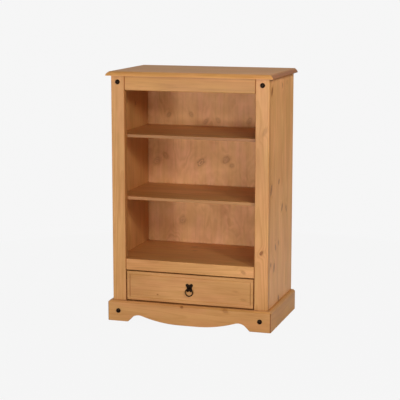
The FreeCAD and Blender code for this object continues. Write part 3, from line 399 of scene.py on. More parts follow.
WAXED = Finish({"Earlywood colour": (0.605, 0.296, 0.090, 1), "Rosy colour": (0.63, 0.286, 0.096, 1),
                "Latewood colour": (0.46, 0.19, 0.04, 1), "Knot colour": (0.23, 0.062, 0.003, 1),
                "Grime and shade colour": (0.28, 0.068, 0.004, 1), "Figure": 0.7, "Streaks": 0.75,
                "Mottle": 0.8, "Polish": 0.36}, wax=0.08, ringed=0.2, end_soak=0.95)
VENEER = changed(WAXED, {"Earlywood colour": (0.71, 0.385, 0.155, 1),
                         "Rosy colour": (0.72, 0.37, 0.17, 1),
                         "Latewood colour": (0.50, 0.22, 0.06, 1),
                         "Knot colour": (0.24, 0.07, 0.006, 1), "Figure": 0.55, "Streaks": 0.45,
                         "Polish": 0.5}, wax=0.03, ringed=0.75)
RUDDY = changed(WAXED, {"Earlywood colour": (0.615, 0.290, 0.070, 1),
                        "Rosy colour": (0.63, 0.285, 0.078, 1)})
PALER = changed(WAXED, {"Earlywood colour": (0.61, 0.31, 0.112, 1),
                        "Rosy colour": (0.635, 0.30, 0.118, 1)})
BARE = Finish({"Earlywood colour": (0.76, 0.56, 0.33, 1), "Rosy colour": (0.78, 0.53, 0.35, 1),
               "Latewood colour": (0.58, 0.36, 0.17, 1), "Knot colour": (0.2, 0.085, 0.035, 1),
               "Grime and shade colour": (0.30, 0.13, 0.045, 1), "Figure": 0.6, "Mottle": 0.35,
               "Polish": 0.58}, wax=0.0, ringed=0.2, end_soak=0.3)
PLYWOOD = changed(BARE, {"Earlywood colour": (0.72, 0.53, 0.34, 1), "Figure": 0.45, "Polish": 0.6})
GLOSS_LEVEL = 0.35
WAX_ROUGHNESS = 0.35

# How far apart two boards lie along the log for each step of their seeds, how far the painted
# shadow along a flush joint reaches, and how far a darkened edge band reaches, in mm.
LOG_STEP = 0.37
FLUSH_SHADE_REACH, STAIN_AND_SHADE_REACH = 5, 1


def board_turn(grain, face):
    """The turn that lays a board's grain along Z and its face's normal along X."""
    along, out = AXES[grain], AXES[face]
    return Matrix((out, along.cross(out), along))


def place_on_face(node, face, places):
    """A place on a board's front, right side or top, from its two places in mm on that face."""
    low, high = corners_of(node)
    place = low if face == "Y" else high
    for index, level in zip((i for i, axis in enumerate("XYZ") if axis != face), places):
        place[index] = level * MM
    return place


def add_bands(tree, mask, place, bands, reach):
    """Adds bands to a mask: each along an axis, at a level in mm and by an amount."""
    for axis, level, amount in bands:
        mask = use(tree, LEVEL, {"Place": place, "Direction": AXES[axis], "Level": level * MM,
                                 "Reach": reach * MM, "Amount": amount, "Mask": mask})["Mask"]
    return mask


def new_material(name):
    """An empty material's tree and its Principled shader."""
    material = bpy.data.materials.new(name)
    material.use_nodes = True
    tree = material.node_tree
    return material, tree, next(n for n in tree.nodes if n.type == "BSDF_PRINCIPLED")


def finish_node(node, material):
    """Puts a material on a CAD node's own mesh."""
    materials = frame["nodes"][node].data.materials
    materials.clear()
    materials.append(material)


def finish_board(node, grain, face, finish, ring_width=5.0, pith=(45.0, 10.0), wander=24.0,
                 tilt=0.02, seed=0.0, knots=(), staves=None, tone=1.0, stained_and_shaded_edges=(), flush_shade_lines=(),
                 softness=0.0, flow=1.0):
    """Gives one board its own piece of the log.

    pith is how far the log's centre lies behind the board's middle and to its side, in mm. A
    knot is its two places in mm on the face, its radius in mm, its stretch, its lean and how
    dark it is. staves is the width in mm of the staves that a panel is glued from. Darkened edge
    bands are given as an axis, a level in mm and an amount: stain on end grain, and painted shade
    on the shelves' set-back front edges. Flush joints are given in the same way and get a painted
    shadow line. softness blurs the rings and flow shortens their waves, as a peeled veneer has
    them."""
    low, high = corners_of(node)
    turn = Matrix.Rotation(tilt, 3, "Y") @ board_turn(grain, face)
    shift = Vector((pith[0] * MM, pith[1] * MM, seed * LOG_STEP)) - turn @ (low + high) / 2
    material, tree, shader = new_material(f"{node} pine")
    place = tree.nodes.new("ShaderNodeTexCoord").outputs["Object"]
    board = add(tree, "ShaderNodeMapping", {"Vector": place, "Location": shift,
                                            "Rotation": turn.to_euler("XYZ")}).outputs["Vector"]
    marks = {"Heart": 0.0, "Rim": 0.0, "Swirl": 0.0}
    for *places, radius, stretch, lean, depth in knots:
        outputs = use(tree, KNOT, {
            "Board": board, "Centre": turn @ place_on_face(node, face, places) + shift,
            "Radius": radius * MM, "Stretch": stretch, "Lean": lean, "Depth": depth,
            "Ringed": finish.ringed, **marks})
        marks = {name: outputs[name] for name in marks}
    # Painted shade in corners and joints, with wax and dust.
    grime_and_shade = use(tree, GRIME_AND_SHADE)["Mask"]
    log, looks = board, dict(finish.looks)
    if staves:
        stave = use(tree, STAVES, {"Board": board, "Width": staves * MM, "Seed": seed})
        log, looks["Stave tone"] = stave["Board"], stave["Tone"]
        grime_and_shade = maths(tree, "MULTIPLY_ADD", stave["Glue line"], 0.35, grime_and_shade)
    # Painted shadow lines along the flush joints given.
    grime_and_shade = add_bands(tree, grime_and_shade, place, flush_shade_lines, FLUSH_SHADE_REACH)
    facing = tree.nodes.new("ShaderNodeNewGeometry").outputs["Normal"]
    end = maths(tree, "ABSOLUTE", vectors(tree, "DOT_PRODUCT", facing, AXES[grain]))
    # Stain on end grain, and the darkened edge bands given.
    stain_and_shade = add_bands(tree, ramp(tree, end, 0.2, 0.8, 0.0, finish.end_soak), place, stained_and_shaded_edges, STAIN_AND_SHADE_REACH)
    rings = use(tree, RINGS, {"Board": log, "Ring width": ring_width * MM, "Wander": wander * MM,
                              "Softness": softness, "Seed": seed, "Flow": flow,
                              "Swirl": marks.pop("Swirl")})
    figure = {socket.name: socket for socket in rings}
    arris = use(tree, ARRIS)
    pine = use(tree, PINE, {**figure, **marks, "Arris": arris["Mask"], "Grime and shade": grime_and_shade, "Soak": stain_and_shade,
                            "Tone": tone, **looks})
    relief = add(tree, "ShaderNodeBump", {"Height": pine["Height"], "Normal": arris["Normal"],
                                          "Strength": 0.35, "Distance": 0.6 * MM})
    fill(tree, shader.inputs, {"Base Color": pine["Color"], "Roughness": pine["Roughness"],
                               "Normal": relief.outputs["Normal"], "Coat Weight": finish.wax,
                               "Coat Roughness": WAX_ROUGHNESS, "Specular IOR Level": GLOSS_LEVEL})
    finish_node(node, material)


# ---------------------------------------------------------------- the boards

# The knots of the right side, and those of the left one, which show inside: y and z in mm, then
# radius, stretch, lean and depth. Those of the back panel and of the front's boards: x and z.
SIDE_KNOTS = [(-168, 1108, 12, 1.7, -0.3, 1.0), (20, 1120, 8, 1.2, 0.0, 0.6),
              (110, 1128, 7, 1.2, 0.0, 0.4), (-25, 674, 10, 1.2, -0.3, 0.9),
              (-168, 655, 13, 1.9, -0.35, 1.0), (39, 543, 11, 1.6, -0.4, 0.9),
              (119, 524, 10, 1.5, 0.4, 0.8), (-22, 383, 9, 1.2, 0.3, 0.6),
              (-79, 372, 9, 1.6, 0.3, 0.9), (-166, 303, 8, 1.3, 0.0, 0.9),
              (-104, 281, 12, 1.8, -0.2, 0.9), (-14, 112, 13, 1.2, 0.2, 1.0)]
LEFT_SIDE_KNOTS = [(-75, 804, 8, 1.5, 0.1, 0.9), (-72, 389, 9, 1.4, 0.2, 0.9),
                   (60, 1010, 8, 1.3, 0.2, 0.6)]
BACK_KNOTS = [(-315, 708, 15, 1.1, 0.3, 0.45), (-268, 735, 10, 1.2, -0.3, 0.3),
              (-84, 708, 17, 1.1, 0.5, 0.75), (45, 727, 16, 1.0, 0.3, 0.7),
              (75, 700, 9, 1.0, 0.0, 0.6), (-251, 942, 9, 1.2, 0.3, 0.6),
              (-135, 946, 9, 1.2, -0.3, 0.6), (-58, 914, 9, 1.3, 0.5, 0.5),
              (3, 922, 9, 1.2, -0.3, 0.5), (164, 923, 10, 1.3, 0.3, 0.5),
              (-180, 415, 13, 1.3, 0.2, 0.4)]
STILE_KNOTS = [(348, 368, 8, 1.3, 0.4, 1.0), (358, 925, 8, 2.2, 0.5, 0.35)]
PLINTH_KNOTS = [(-31, 90, 6, 1.2, 0.0, 1.0), (182, 88, 9, 1.5, 0.3, 0.55)]
DRAWER_KNOTS = [(-158, 136, 3, 1.4, 0.0, 0.9), (262, 142, 5, 2.6, 0.1, 0.4),
                (225, 178, 4, 3.0, 0.1, 0.35)]
# The deck's: x and y.
DECK_KNOTS = [(-83, 136, 13, 1.2, 0.3, 0.55), (-60, 60, 8, 1.2, 0.0, 0.4)]


def both_ends(level, amount):
    """The same band at a level in mm to the right and to the left."""
    return [("X", level, amount), ("X", -level, amount)]


def finish_top_and_sides():
    # A painted shadow line on the sides where they meet the backs of the stiles.
    seam_shadow = [("Y", STILE_BACK, 0.6)]
    finish_board("top_board", "X", "Z", WAXED, pith=(-60, 60), seed=1.0, wander=30, staves=110,
                 tone=1.22)
    finish_board("left_side_panel", "Z", "X", WAXED, pith=(55, -60), seed=2.0, wander=34,
                 staves=105, flush_shade_lines=seam_shadow, knots=LEFT_SIDE_KNOTS)
    finish_board("right_side_panel", "Z", "X", PALER, pith=(-60, 40), seed=3.0, wander=30,
                 staves=105, tone=1.14, flush_shade_lines=seam_shadow, knots=SIDE_KNOTS)


def finish_front():
    # The stiles' outer sides get a darkened band, and painted shade lines run along the stiles' inner
    # edges and the rails' ends.
    stile_side_bands = both_ends(SIDE_OUTSIDE, 0.26)
    rail_end_shade = both_ends(STILE_INSIDE, 0.9)
    finish_board("left_front_stile", "Z", "Y", WAXED, pith=(70, 15), seed=4.0, ring_width=6,
                 stained_and_shaded_edges=stile_side_bands, flush_shade_lines=[("X", -STILE_INSIDE, 0.4)])
    finish_board("right_front_stile", "Z", "Y", WAXED, pith=(80, -20), seed=5.0, ring_width=6,
                 stained_and_shaded_edges=stile_side_bands, flush_shade_lines=[("X", STILE_INSIDE, 0.4)], knots=STILE_KNOTS)
    finish_board("top_front_rail", "X", "Y", RUDDY, pith=(60, 12), seed=6.0, tone=0.87,
                 flush_shade_lines=rail_end_shade)
    finish_board("deck_front_rail", "X", "Y", WAXED, pith=(52, -16), seed=7.0, tone=1.05,
                 flush_shade_lines=rail_end_shade, knots=[(262, 272, 7, 1.3, 0.5, 0.5)])
    finish_board("bottom_front_rail", "X", "Y", WAXED, pith=(50, 10), seed=8.0)
    finish_board("drawer_front", "X", "Y", WAXED, pith=(44, 6), seed=16.0, wander=26, tone=0.95,
                 knots=DRAWER_KNOTS)


def finish_shelves_and_back():
    finish_board("deck_board", "X", "Z", WAXED, pith=(-45, 50), seed=9.0, wander=30, staves=110,
                 tone=1.08, knots=DECK_KNOTS)
    # The shelves' front edges, set back behind the stiles, are darkened with painted shade.
    finish_board("lower_shelf", "X", "Z", WAXED, pith=(-50, -40), seed=10.0, wander=30, staves=110,
                 stained_and_shaded_edges=[("Y", STILE_BACK, 0.52)])
    finish_board("upper_shelf", "X", "Z", WAXED, pith=(-48, 30), seed=11.0, wander=30, staves=110,
                 stained_and_shaded_edges=[("Y", STILE_BACK, 0.72)])
    finish_board("back_panel", "Z", "Y", VENEER, pith=(1500, 0), seed=15.0, wander=260,
                 ring_width=16, softness=0.7, flow=3.0, tone=1.14, knots=BACK_KNOTS)


def finish_plinth():
    finish_board("plinth_front", "X", "Y", WAXED, pith=(46, 8), seed=12.0, wander=28, tone=0.95,
                 stained_and_shaded_edges=both_ends(PLINTH_END, 0.4), knots=PLINTH_KNOTS)
    finish_board("plinth_left", "Y", "X", RUDDY, pith=(48, 8), seed=13.0, tone=0.95)
    finish_board("plinth_right", "Y", "X", RUDDY, pith=(-50, -8), seed=14.0, tone=0.86)


def finish_inner_pieces():
    """Bare wood behind the front, each board with the next seed."""
    seed = 20.0
    for grain, face, nodes in (
            ("X", "Y", ("top_back_rail", "bottom_back_rail", "drawer_back")),
            ("Y", "X", ("drawer_left_side", "drawer_right_side")),
            ("Y", "Z", ("drawer_stops", "left_top_cleat", "right_top_cleat")),
            ("Y", "Z", ("left_drawer_runner", "right_drawer_runner")),
            ("Y", "X", ("left_drawer_guide", "right_drawer_guide")),
            ("Y", "Z", ("left_drawer_kicker", "right_drawer_kicker"))):
        for node in nodes:
            finish_board(node, grain, face, BARE, pith=(40, 8), seed=seed)
            seed += 1.0
    finish_board("drawer_bottom", "X", "Z", PLYWOOD, pith=(160, 30), seed=seed, wander=80,
                 ring_width=11, softness=0.6)


# ---------------------------------------------------------------- metal

def make_hammer_group():
    """Hammer marks, and where their crests and the edges are rubbed."""
    tree, given, end = new_group("hammer marks", {"Size": 0.004, "Arris": 0.0},
                                 {"Rubbed": VALUE, "Height": VALUE, "Mottle": VALUE})
    place = tree.nodes.new("ShaderNodeTexCoord").outputs["Object"]
    scale = maths(tree, "DIVIDE", 1.0, given["Size"])
    dents = add(tree, "ShaderNodeTexVoronoi", {"Vector": place, "Scale": scale, "Smoothness": 0.6},
                feature="SMOOTH_F1")
    mottle = clouds(tree, place, 450.0, 3.0, 0.6, 2.0)
    crest = ramp(tree, dents.outputs["Distance"], 0.45, 0.75)
    rubbed = maths(tree, "MAXIMUM", maths(tree, "MULTIPLY", crest, 0.35), given["Arris"])
    rubbed = maths(tree, "MULTIPLY", rubbed, ramp(tree, mottle, 0.3, 0.7))
    height = maths(tree, "MULTIPLY_ADD", mottle, 0.15, dents.outputs["Distance"])
    fill(tree, end.inputs, {"Rubbed": rubbed, "Height": height, "Mottle": mottle})
    return tree


HAMMER = make_hammer_group()


def metal(name, dark, rubbed, metallic, roughness, dent_size, relief):
    """Metal that is dark in its dents and rubbed bright on its crests and edges."""
    material, tree, shader = new_material(name)
    arris = use(tree, ARRIS, {"Radius": 0.8 * MM})
    marks = use(tree, HAMMER, {"Size": dent_size, "Arris": arris["Mask"]})
    bump = add(tree, "ShaderNodeBump", {"Height": marks["Height"], "Normal": arris["Normal"],
                                        "Strength": relief, "Distance": 0.8 * MM})
    fill(tree, shader.inputs, {
        "Base Color": colour_mix(tree, marks["Rubbed"], dark, rubbed),
        "Roughness": maths(tree, "MULTIPLY_ADD", marks["Mottle"], 0.12, roughness),
        "Normal": bump.outputs["Normal"], "Metallic": metallic, "Specular IOR Level": GLOSS_LEVEL})
    return material


IRON = metal("black forged iron", dark=(0.011, 0.0055, 0.0025, 1), rubbed=(0.055, 0.028, 0.013, 1),
             metallic=0.9, roughness=0.28, dent_size=4.2 * MM, relief=0.6)
ZINC = metal("zinc plated steel", dark=(0.55, 0.55, 0.53, 1), rubbed=(0.72, 0.72, 0.70, 1),
             metallic=0.9, roughness=0.3, dent_size=2 * MM, relief=0.1)


def new_object(name, data):
    """A new object in the scene."""
    made = bpy.data.objects.new(name, data)
    bpy.context.collection.objects.link(made)
    return made


def make_piece(name, build, material, body, node, modify=None):
    """A new piece from a bmesh, with its place in its mesh, that stands for a CAD node.

    modify gives it modifiers, and what they make of it becomes its mesh."""
    mesh = bpy.data.meshes.new(name)
    build.to_mesh(mesh)
    build.free()
    mesh.materials.append(material)
    piece = new_object(name, mesh)
    if modify:
        for polygon in mesh.polygons:
            polygon.use_smooth = True
        modify(piece)
        graph = bpy.context.evaluated_depsgraph_get()
        shaped = bpy.data.meshes.new_from_object(piece.evaluated_get(graph))
        piece.modifiers.clear()
        piece.data = shaped
    for polygon in piece.data.polygons:
        polygon.use_smooth = True
    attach(piece, body)
    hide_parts(node)
    return piece


def lathe(build, profile, centre, segments=48, waver=0.0, seed=0.0):
    """A turned shape about a line along Y: profile is (radius, y) from one end to the other."""
    loops = []
    for radius, depth in profile:
        if radius < 1e-6:
            loops.append([build.verts.new((centre.x, depth, centre.z))])
            continue
        loop = []
        for step in range(segments):
            angle = math.tau * step / segments
            ripple = noise.noise(Vector((math.cos(angle) * 2.2, math.sin(angle) * 2.2,
                                         depth * 400 + seed)))
            reach = radius * (1 - waver + waver * ripple)
            loop.append(build.verts.new((centre.x + reach * math.cos(angle), depth,
                                         centre.z + reach * math.sin(angle))))
        loops.append(loop)
    for first, second in zip(loops, loops[1:]):
        for step in range(segments):
            after = (step + 1) % segments
            corners = [first[step % len(first)], first[after % len(first)],
                       second[after % len(second)], second[step % len(second)]]
            build.faces.new(list(dict.fromkeys(corners)))
    bmesh.ops.recalc_face_normals(build, faces=build.faces)


# The studs, in mm: a dome over a rolled rim, on a shank with a point.
STUD_HEIGHT, RIM_HEIGHT, RIM_EDGES = 7, 1.2, (0.9, 0.3)
SHANK_RADIUS, POINT_LENGTH = 2, 3
DOME_SHARE, DOME_ROUNDNESS, DOME_FLATNESS = 0.97, 0.92, 1.15
DOME_STEPS = 12


def make_studs():
    """Domed iron studs with a rolled rim and a shank in the wood."""
    for place in ("top_left", "top_right", "bottom_left", "bottom_right"):
        node = f"stud_{place}"
        low, high = corners_of(node)
        centre, radius = (low + high) / 2, (high.x - low.x) / 2
        crown, seat = low.y, low.y + STUD_HEIGHT * MM
        rise = seat - RIM_HEIGHT * MM - crown
        dome, shank = radius * DOME_SHARE, SHANK_RADIUS * MM
        profile = [(0.0, crown)]
        for step in range(1, DOME_STEPS + 1):
            turn = step / DOME_STEPS * math.pi / 2
            profile.append((dome * math.sin(turn) ** DOME_ROUNDNESS,
                            crown + rise * (1 - math.cos(turn)) ** DOME_FLATNESS))
        profile += [(radius, seat - edge * MM) for edge in RIM_EDGES]
        profile += [(dome, seat), (shank, seat), (shank, high.y - POINT_LENGTH * MM),
                    (0.0, high.y)]
        build = bmesh.new()
        lathe(build, profile, centre, waver=0.02, seed=centre.x * 31 + centre.z * 17)
        make_piece(f"{node}_forged", build, IRON, "case", node)


def sweep_ring(build, centre, reach, wire, across=(1, 0, 0), up=(0, 0, 1), segments=72, sides=16,
               waver=0.0):
    """A round bar bent into a closed ring in the plane of across and up."""
    across, up = Vector(across), Vector(up)
    normal = across.cross(up)
    loops = []
    for step in range(segments):
        angle = math.tau * step / segments
        out = across * math.cos(angle) + up * math.sin(angle)
        ripple = noise.noise(out * 3.1 + centre * 90)
        thick = wire(angle) / 2 * (1 - waver + waver * ripple)
        loops.append([build.verts.new(centre + out * (reach + thick * math.cos(math.tau * side / sides))
                                      + normal * thick * math.sin(math.tau * side / sides))
                      for side in range(sides)])
    for step in range(segments):
        here, there = loops[step], loops[(step + 1) % segments]
        for side in range(sides):
            after = (side + 1) % sides
            build.faces.new((here[side], there[side], there[after], here[after]))
    bmesh.ops.recalc_face_normals(build, faces=build.faces)


def make_ring():
    """The ring, drawn down thinner where it hangs in its staple."""
    low, high = corners_of("ring_pull")
    wire = high.y - low.y
    build = bmesh.new()
    sweep_ring(build, (low + high) / 2, (high.z - low.z - wire) / 2,
               lambda angle: wire * (0.93 - 0.07 * math.sin(angle)), waver=0.03)
    make_piece("ring_forged", build, IRON, "ring", "ring_pull")


def weld(piece):
    """Joins the solids of a piece into one skin."""
    skin = piece.modifiers.new("skin", "REMESH")
    skin.mode, skin.voxel_size = "VOXEL", 0.3 * MM


def make_staple():
    """The eye that the ring hangs in and its shank, cast in one."""
    high = corners_of("ring_staple")[1]
    joints = frame["record"]["behaviour"]["joints"]
    pivot = Vector(next(grime_and_shade["pos_m"] for grime_and_shade in joints if grime_and_shade["name"] == "ring_swing"))
    wire, reach, shank, point = 3 * MM, 4.55 * MM, 2 * MM, 0.5 * MM
    build = bmesh.new()
    sweep_ring(build, pivot, reach, lambda angle: wire, across=(0, 1, 0), segments=40)
    lathe(build, [(0.0, pivot.y + reach), (shank, pivot.y + reach), (shank, high.y - point),
                  (shank - point, high.y), (0.0, high.y)], pivot, segments=24)
    make_piece("staple_forged", build, IRON, "drawer", "ring_staple", weld)


def merged_copy(node):
    """A CAD node's solids as a clean bmesh."""
    build = bmesh.new()
    build.from_mesh(frame["nodes"][node].data)
    bmesh.ops.remove_doubles(build, verts=build.verts, dist=1e-6)
    return build


def round_edges(piece):
    """Rounds a piece's sharp edges."""
    edge = piece.modifiers.new("edge", "BEVEL")
    edge.width, edge.segments, edge.limit_method = 0.7 * MM, 3, "ANGLE"
    edge.angle_limit = math.radians(50)


def make_backplate():
    """The plate behind the ring, with rounded edges."""
    build = merged_copy("ring_backplate")
    bmesh.ops.dissolve_limit(build, angle_limit=math.radians(2), verts=build.verts, edges=build.edges)
    make_piece("backplate_forged", build, IRON, "drawer", "ring_backplate", round_edges)


# ---------------------------------------------------------------- screws

# Shares of a screw's length where its thread starts and is deep, and where its point starts; how
# much of the shank the thread takes; how round the head is; and the recess's blades as shares of
# the head's radius.
THREAD_START, THREAD_DEEP, POINT_START = 0.3, 0.38, 0.84
THREAD_DEPTH, HEAD_ROUNDNESS = 0.64, 0.8
BLADE_LENGTH, BLADE_WIDTH = 1.1, 0.26
SCREW_SIDES, STEPS_A_TURN = 16, 6.0
CREASE = math.radians(40)


def add_screw_shape(tree, given):
    """One screw with its head at the origin and its point along Z."""
    length, height = given["Length"], given["Head height"]
    turns = maths(tree, "DIVIDE", length, given["Pitch"])
    bar = add(tree, "GeometryNodeMeshCylinder",
              {"Vertices": SCREW_SIDES, "Side Segments": maths(tree, "MULTIPLY", turns, STEPS_A_TURN),
               "Radius": 1.0, "Depth": length})
    place = add(tree, "ShaderNodeSeparateXYZ",
                {"Vector": tree.nodes.new("GeometryNodeInputPosition").outputs[0]}).outputs
    down = maths(tree, "MULTIPLY_ADD", length, 0.5, place["Z"])
    part = maths(tree, "DIVIDE", down, length)
    turned = maths(tree, "DIVIDE", maths(tree, "ARCTAN2", place["Y"], place["X"]), math.tau)
    along = maths(tree, "ADD", turned, maths(tree, "DIVIDE", down, given["Pitch"]))
    thread = maths(tree, "MULTIPLY", maths(tree, "PINGPONG", along, 0.5),
                   ramp(tree, part, THREAD_START, THREAD_DEEP))
    groove = maths(tree, "MULTIPLY", thread, THREAD_DEPTH)
    shank = maths(tree, "MULTIPLY", maths(tree, "SUBTRACT", 1.0, groove), given["Thread radius"])
    shank = maths(tree, "MULTIPLY", shank, ramp(tree, part, POINT_START, 1.0, 1.0, 0.08))
    fall = maths(tree, "POWER", maths(tree, "SUBTRACT", 1.0, maths(tree, "DIVIDE", down, height)), 2.0)
    dome = maths(tree, "SQRT", maths(tree, "MULTIPLY_ADD", fall, -HEAD_ROUNDNESS, 1.0))
    dome = maths(tree, "MULTIPLY", dome, given["Head radius"])
    head = maths(tree, "MULTIPLY", dome, maths(tree, "LESS_THAN", down, height))
    reach = maths(tree, "MAXIMUM", shank, head)
    moved = add(tree, "ShaderNodeCombineXYZ", {"X": maths(tree, "MULTIPLY", place["X"], reach),
                                               "Y": maths(tree, "MULTIPLY", place["Y"], reach),
                                               "Z": down}).outputs["Vector"]
    return add(tree, "GeometryNodeSetPosition",
               {"Geometry": bar.outputs["Mesh"], "Position": moved}).outputs["Geometry"]


def cut_cross(tree, screw, given):
    """Cuts the driver's cross into a screw's head."""
    wide, narrow = (maths(tree, "MULTIPLY", given["Head radius"], share)
                    for share in (BLADE_LENGTH, BLADE_WIDTH))
    cross = add(tree, "GeometryNodeMeshBoolean", {0: screw}, operation="DIFFERENCE", solver="EXACT")
    for across, along in ((wide, narrow), (narrow, wide)):
        size = add(tree, "ShaderNodeCombineXYZ", {"X": across, "Y": along, "Z": given["Head height"]})
        blade = add(tree, "GeometryNodeMeshCube", {"Size": size.outputs["Vector"]})
        tree.links.new(blade.outputs["Mesh"], cross.inputs[1])
    return cross.outputs["Mesh"]


def make_screw_tree():
    """Wood screws with round heads: one from each head point, as the driver left it."""
    tree = bpy.data.node_groups.new("wood screws", "GeometryNodeTree")
    tree.interface.new_socket("Heads", in_out="INPUT", socket_type="NodeSocketGeometry")
    for label, size in (("Length", 30 * MM), ("Head radius", 4 * MM), ("Head height", 2.5 * MM),
                        ("Thread radius", 2 * MM), ("Pitch", 2 * MM)):
        socket = tree.interface.new_socket(label, in_out="INPUT", socket_type="NodeSocketFloat")
        socket.default_value = size
    tree.interface.new_socket("Direction", in_out="INPUT", socket_type="NodeSocketVector")
    tree.interface.new_socket("Screws", in_out="OUTPUT", socket_type="NodeSocketGeometry")
    given = tree.nodes.new("NodeGroupInput").outputs
    screw = cut_cross(tree, add_screw_shape(tree, given), given)
    spin = add(tree, "FunctionNodeRandomValue", {2: 0.0, 3: math.tau, "Seed": 5})
    about = add(tree, "FunctionNodeAxisAngleToRotation", {"Axis": (0, 0, 1), "Angle": spin.outputs[1]})
    facing = add(tree, "FunctionNodeAlignRotationToVector", {"Vector": given["Direction"]}, axis="Z")
    turn = add(tree, "FunctionNodeRotateRotation",
               {"Rotation": facing.outputs[0], "Rotate By": about.outputs[0]}, rotation_space="LOCAL")
    driven = add(tree, "GeometryNodeInstanceOnPoints",
                 {"Points": given["Heads"], "Instance": screw, "Rotation": turn.outputs[0]})
    whole = add(tree, "GeometryNodeRealizeInstances", {"Geometry": driven.outputs["Instances"]})
    zinc = add(tree, "GeometryNodeSetMaterial",
               {"Geometry": whole.outputs["Geometry"], "Material": ZINC})
    end = tree.nodes.new("NodeGroupOutput")
    tree.links.new(zinc.outputs["Geometry"], end.inputs["Screws"])
    return tree


def solids_of(build):
    """The vertices of each separate solid in a bmesh, in the mesh's own order."""
    left = dict.fromkeys(build.verts)
    while left:
        found = [next(iter(left))]
        del left[found[0]]
        for vertex in found:
            for edge in vertex.link_edges:
                near = edge.other_vert(vertex)
                if near in left:
                    del left[near]
                    found.append(near)
        yield found


def make_screws(node, body, direction, tree):
    """Threaded screws in place of a node's plain ones, with the same heads, lengths and places."""
    way = Vector(direction)
    plain, heads = merged_copy(node), bmesh.new()
    for solid in solids_of(plain):
        low, high = (Vector([pick(vertex.co[i] for vertex in solid) for i in range(3)])
                     for pick in (min, max))
        size = high - low
        length = abs(size.dot(way))
        radius = max(size[i] for i in range(3) if not way[i]) / 2
        heads.verts.new((low + high) / 2 - way * length / 2)
    plain.free()
    sizes = {"Length": length, "Head radius": radius, "Thread radius": radius / 2,
             "Pitch": radius / 2, "Direction": way}

    def drive(piece):
        screws = piece.modifiers.new("screws", "NODES")
        screws.node_group = tree
        for socket in tree.interface.items_tree:
            if socket.name in sizes:
                screws[socket.identifier] = sizes[socket.name]

    piece = make_piece(f"{node}_threaded", heads, ZINC, body, node, drive)
    piece.data.set_sharp_from_angle(angle=CREASE)


def make_all_screws():
    tree = make_screw_tree()
    for node, body, direction in (("top_cleat_screws", "case", (0, 0, 1)),
                                  ("plinth_front_screws", "case", (0, -1, 0)),
                                  ("left_plinth_screws", "case", (-1, 0, 0)),
                                  ("right_plinth_screws", "case", (1, 0, 0)),
                                  ("drawer_bottom_screws", "drawer", (0, 0, 1))):
        make_screws(node, body, direction, tree)


def finish_small_fixings():
    for node in ("staple_washer", "staple_nut", "back_panel_brads"):
        finish_node(node, ZINC)


# ---------------------------------------------------------------- floor, light and camera

def make_floor():
    """A pale floor that takes a faint shadow near the case and is even far from it."""
    build = bmesh.new()
    bmesh.ops.create_circle(build, cap_ends=True, segments=96, radius=FLOOR_RADIUS)
    mesh = bpy.data.meshes.new("floor")
    build.to_mesh(mesh)
    build.free()
    mesh.transform(Matrix.Translation((0, 0, -FLOOR_DROP)))
    material, tree = new_material("pale floor")[:2]
    tree.nodes.clear()
    place = tree.nodes.new("ShaderNodeTexCoord").outputs["Object"]
    far = ramp(tree, vectors(tree, "LENGTH", place), 0.7, 2.2)
    matt = add(tree, "ShaderNodeBsdfDiffuse", {"Color": (FLOOR_BOUNCE,) * 3 + (1,)}).outputs["BSDF"]
    even = add(tree, "ShaderNodeEmission", {"Color": WHITE, "Strength": BACKDROP})
    seen = tree.nodes.new("ShaderNodeLightPath").outputs["Is Camera Ray"]
    share = maths(tree, "MULTIPLY", seen, maths(tree, "MAXIMUM", far, FLOOR_EVEN))
    whole = add(tree, "ShaderNodeMixShader", {0: share, 1: matt, 2: even.outputs["Emission"]})
    end = tree.nodes.new("ShaderNodeOutputMaterial")
    tree.links.new(whole.outputs[0], end.inputs["Surface"])
    mesh.materials.append(material)
    new_object("floor", mesh)


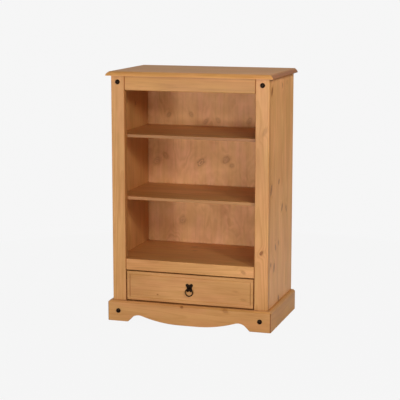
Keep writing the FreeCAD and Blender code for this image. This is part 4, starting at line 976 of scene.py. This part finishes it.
def make_world():
    """White behind the case, less of it in its sheen, and a low even light on it."""
    world = bpy.data.worlds.new("studio")
    bpy.context.scene.world = world
    world.use_nodes = True
    tree = world.node_tree
    tree.nodes.clear()
    seen, low = (add(tree, "ShaderNodeBackground", {"Color": WHITE, "Strength": light}).outputs[0]
                 for light in (BACKDROP, AMBIENT))
    path = tree.nodes.new("ShaderNodeLightPath").outputs
    in_gloss = maths(tree, "MULTIPLY", path["Is Glossy Ray"], BACKDROP_IN_GLOSS)
    mirrored = maths(tree, "MAXIMUM", path["Is Camera Ray"], in_gloss)
    mixed = add(tree, "ShaderNodeMixShader", {0: mirrored, 1: low, 2: seen})
    end = tree.nodes.new("ShaderNodeOutputWorld")
    tree.links.new(mixed.outputs[0], end.inputs["Surface"])


def way_to(azimuth, elevation):
    """The direction to a place round the case, from its two angles in degrees."""
    turn, tilt = math.radians(azimuth), math.radians(elevation)
    return Vector((math.sin(turn) * math.cos(tilt), -math.cos(turn) * math.cos(tilt),
                   math.sin(tilt)))


def make_lights():
    """Square soft boxes."""
    for name, (azimuth, elevation, distance, size, brightness) in LAMPS.items():
        back = way_to(azimuth, elevation)
        light = bpy.data.lights.new(name, "AREA")
        light.shape, light.size = "SQUARE", size
        light.energy = brightness * math.pi ** 2 * distance ** 2
        lamp = new_object(name, light)
        lamp.location = Vector((0, 0, LAMP_AIM)) + back * distance
        lamp.rotation_mode = "QUATERNION"
        lamp.rotation_quaternion = (-back).to_track_quat("-Z", "Y")
        lamp.visible_camera = False


def make_camera():
    lens = bpy.data.cameras.new("camera")
    lens.sensor_width, lens.lens = SENSOR, FOCAL_PIXELS * SENSOR / PICTURE_PIXELS
    lens.clip_end = 200.0
    camera = new_object("camera", lens)
    camera.location = CAMERA_PLACE
    ahead = -way_to(CAMERA_YAW, CAMERA_PITCH)
    camera.rotation_euler = ahead.to_track_quat("-Z", "Y").to_euler()
    bpy.context.scene.camera = camera


finish_top_and_sides()
finish_front()
finish_shelves_and_back()
finish_plinth()
finish_inner_pieces()
make_studs()
make_ring()
make_staple()
make_backplate()
make_all_screws()
finish_small_fixings()
make_floor()
make_world()
make_lights()
make_camera()
bpy.context.scene.view_settings.view_transform = "Standard"
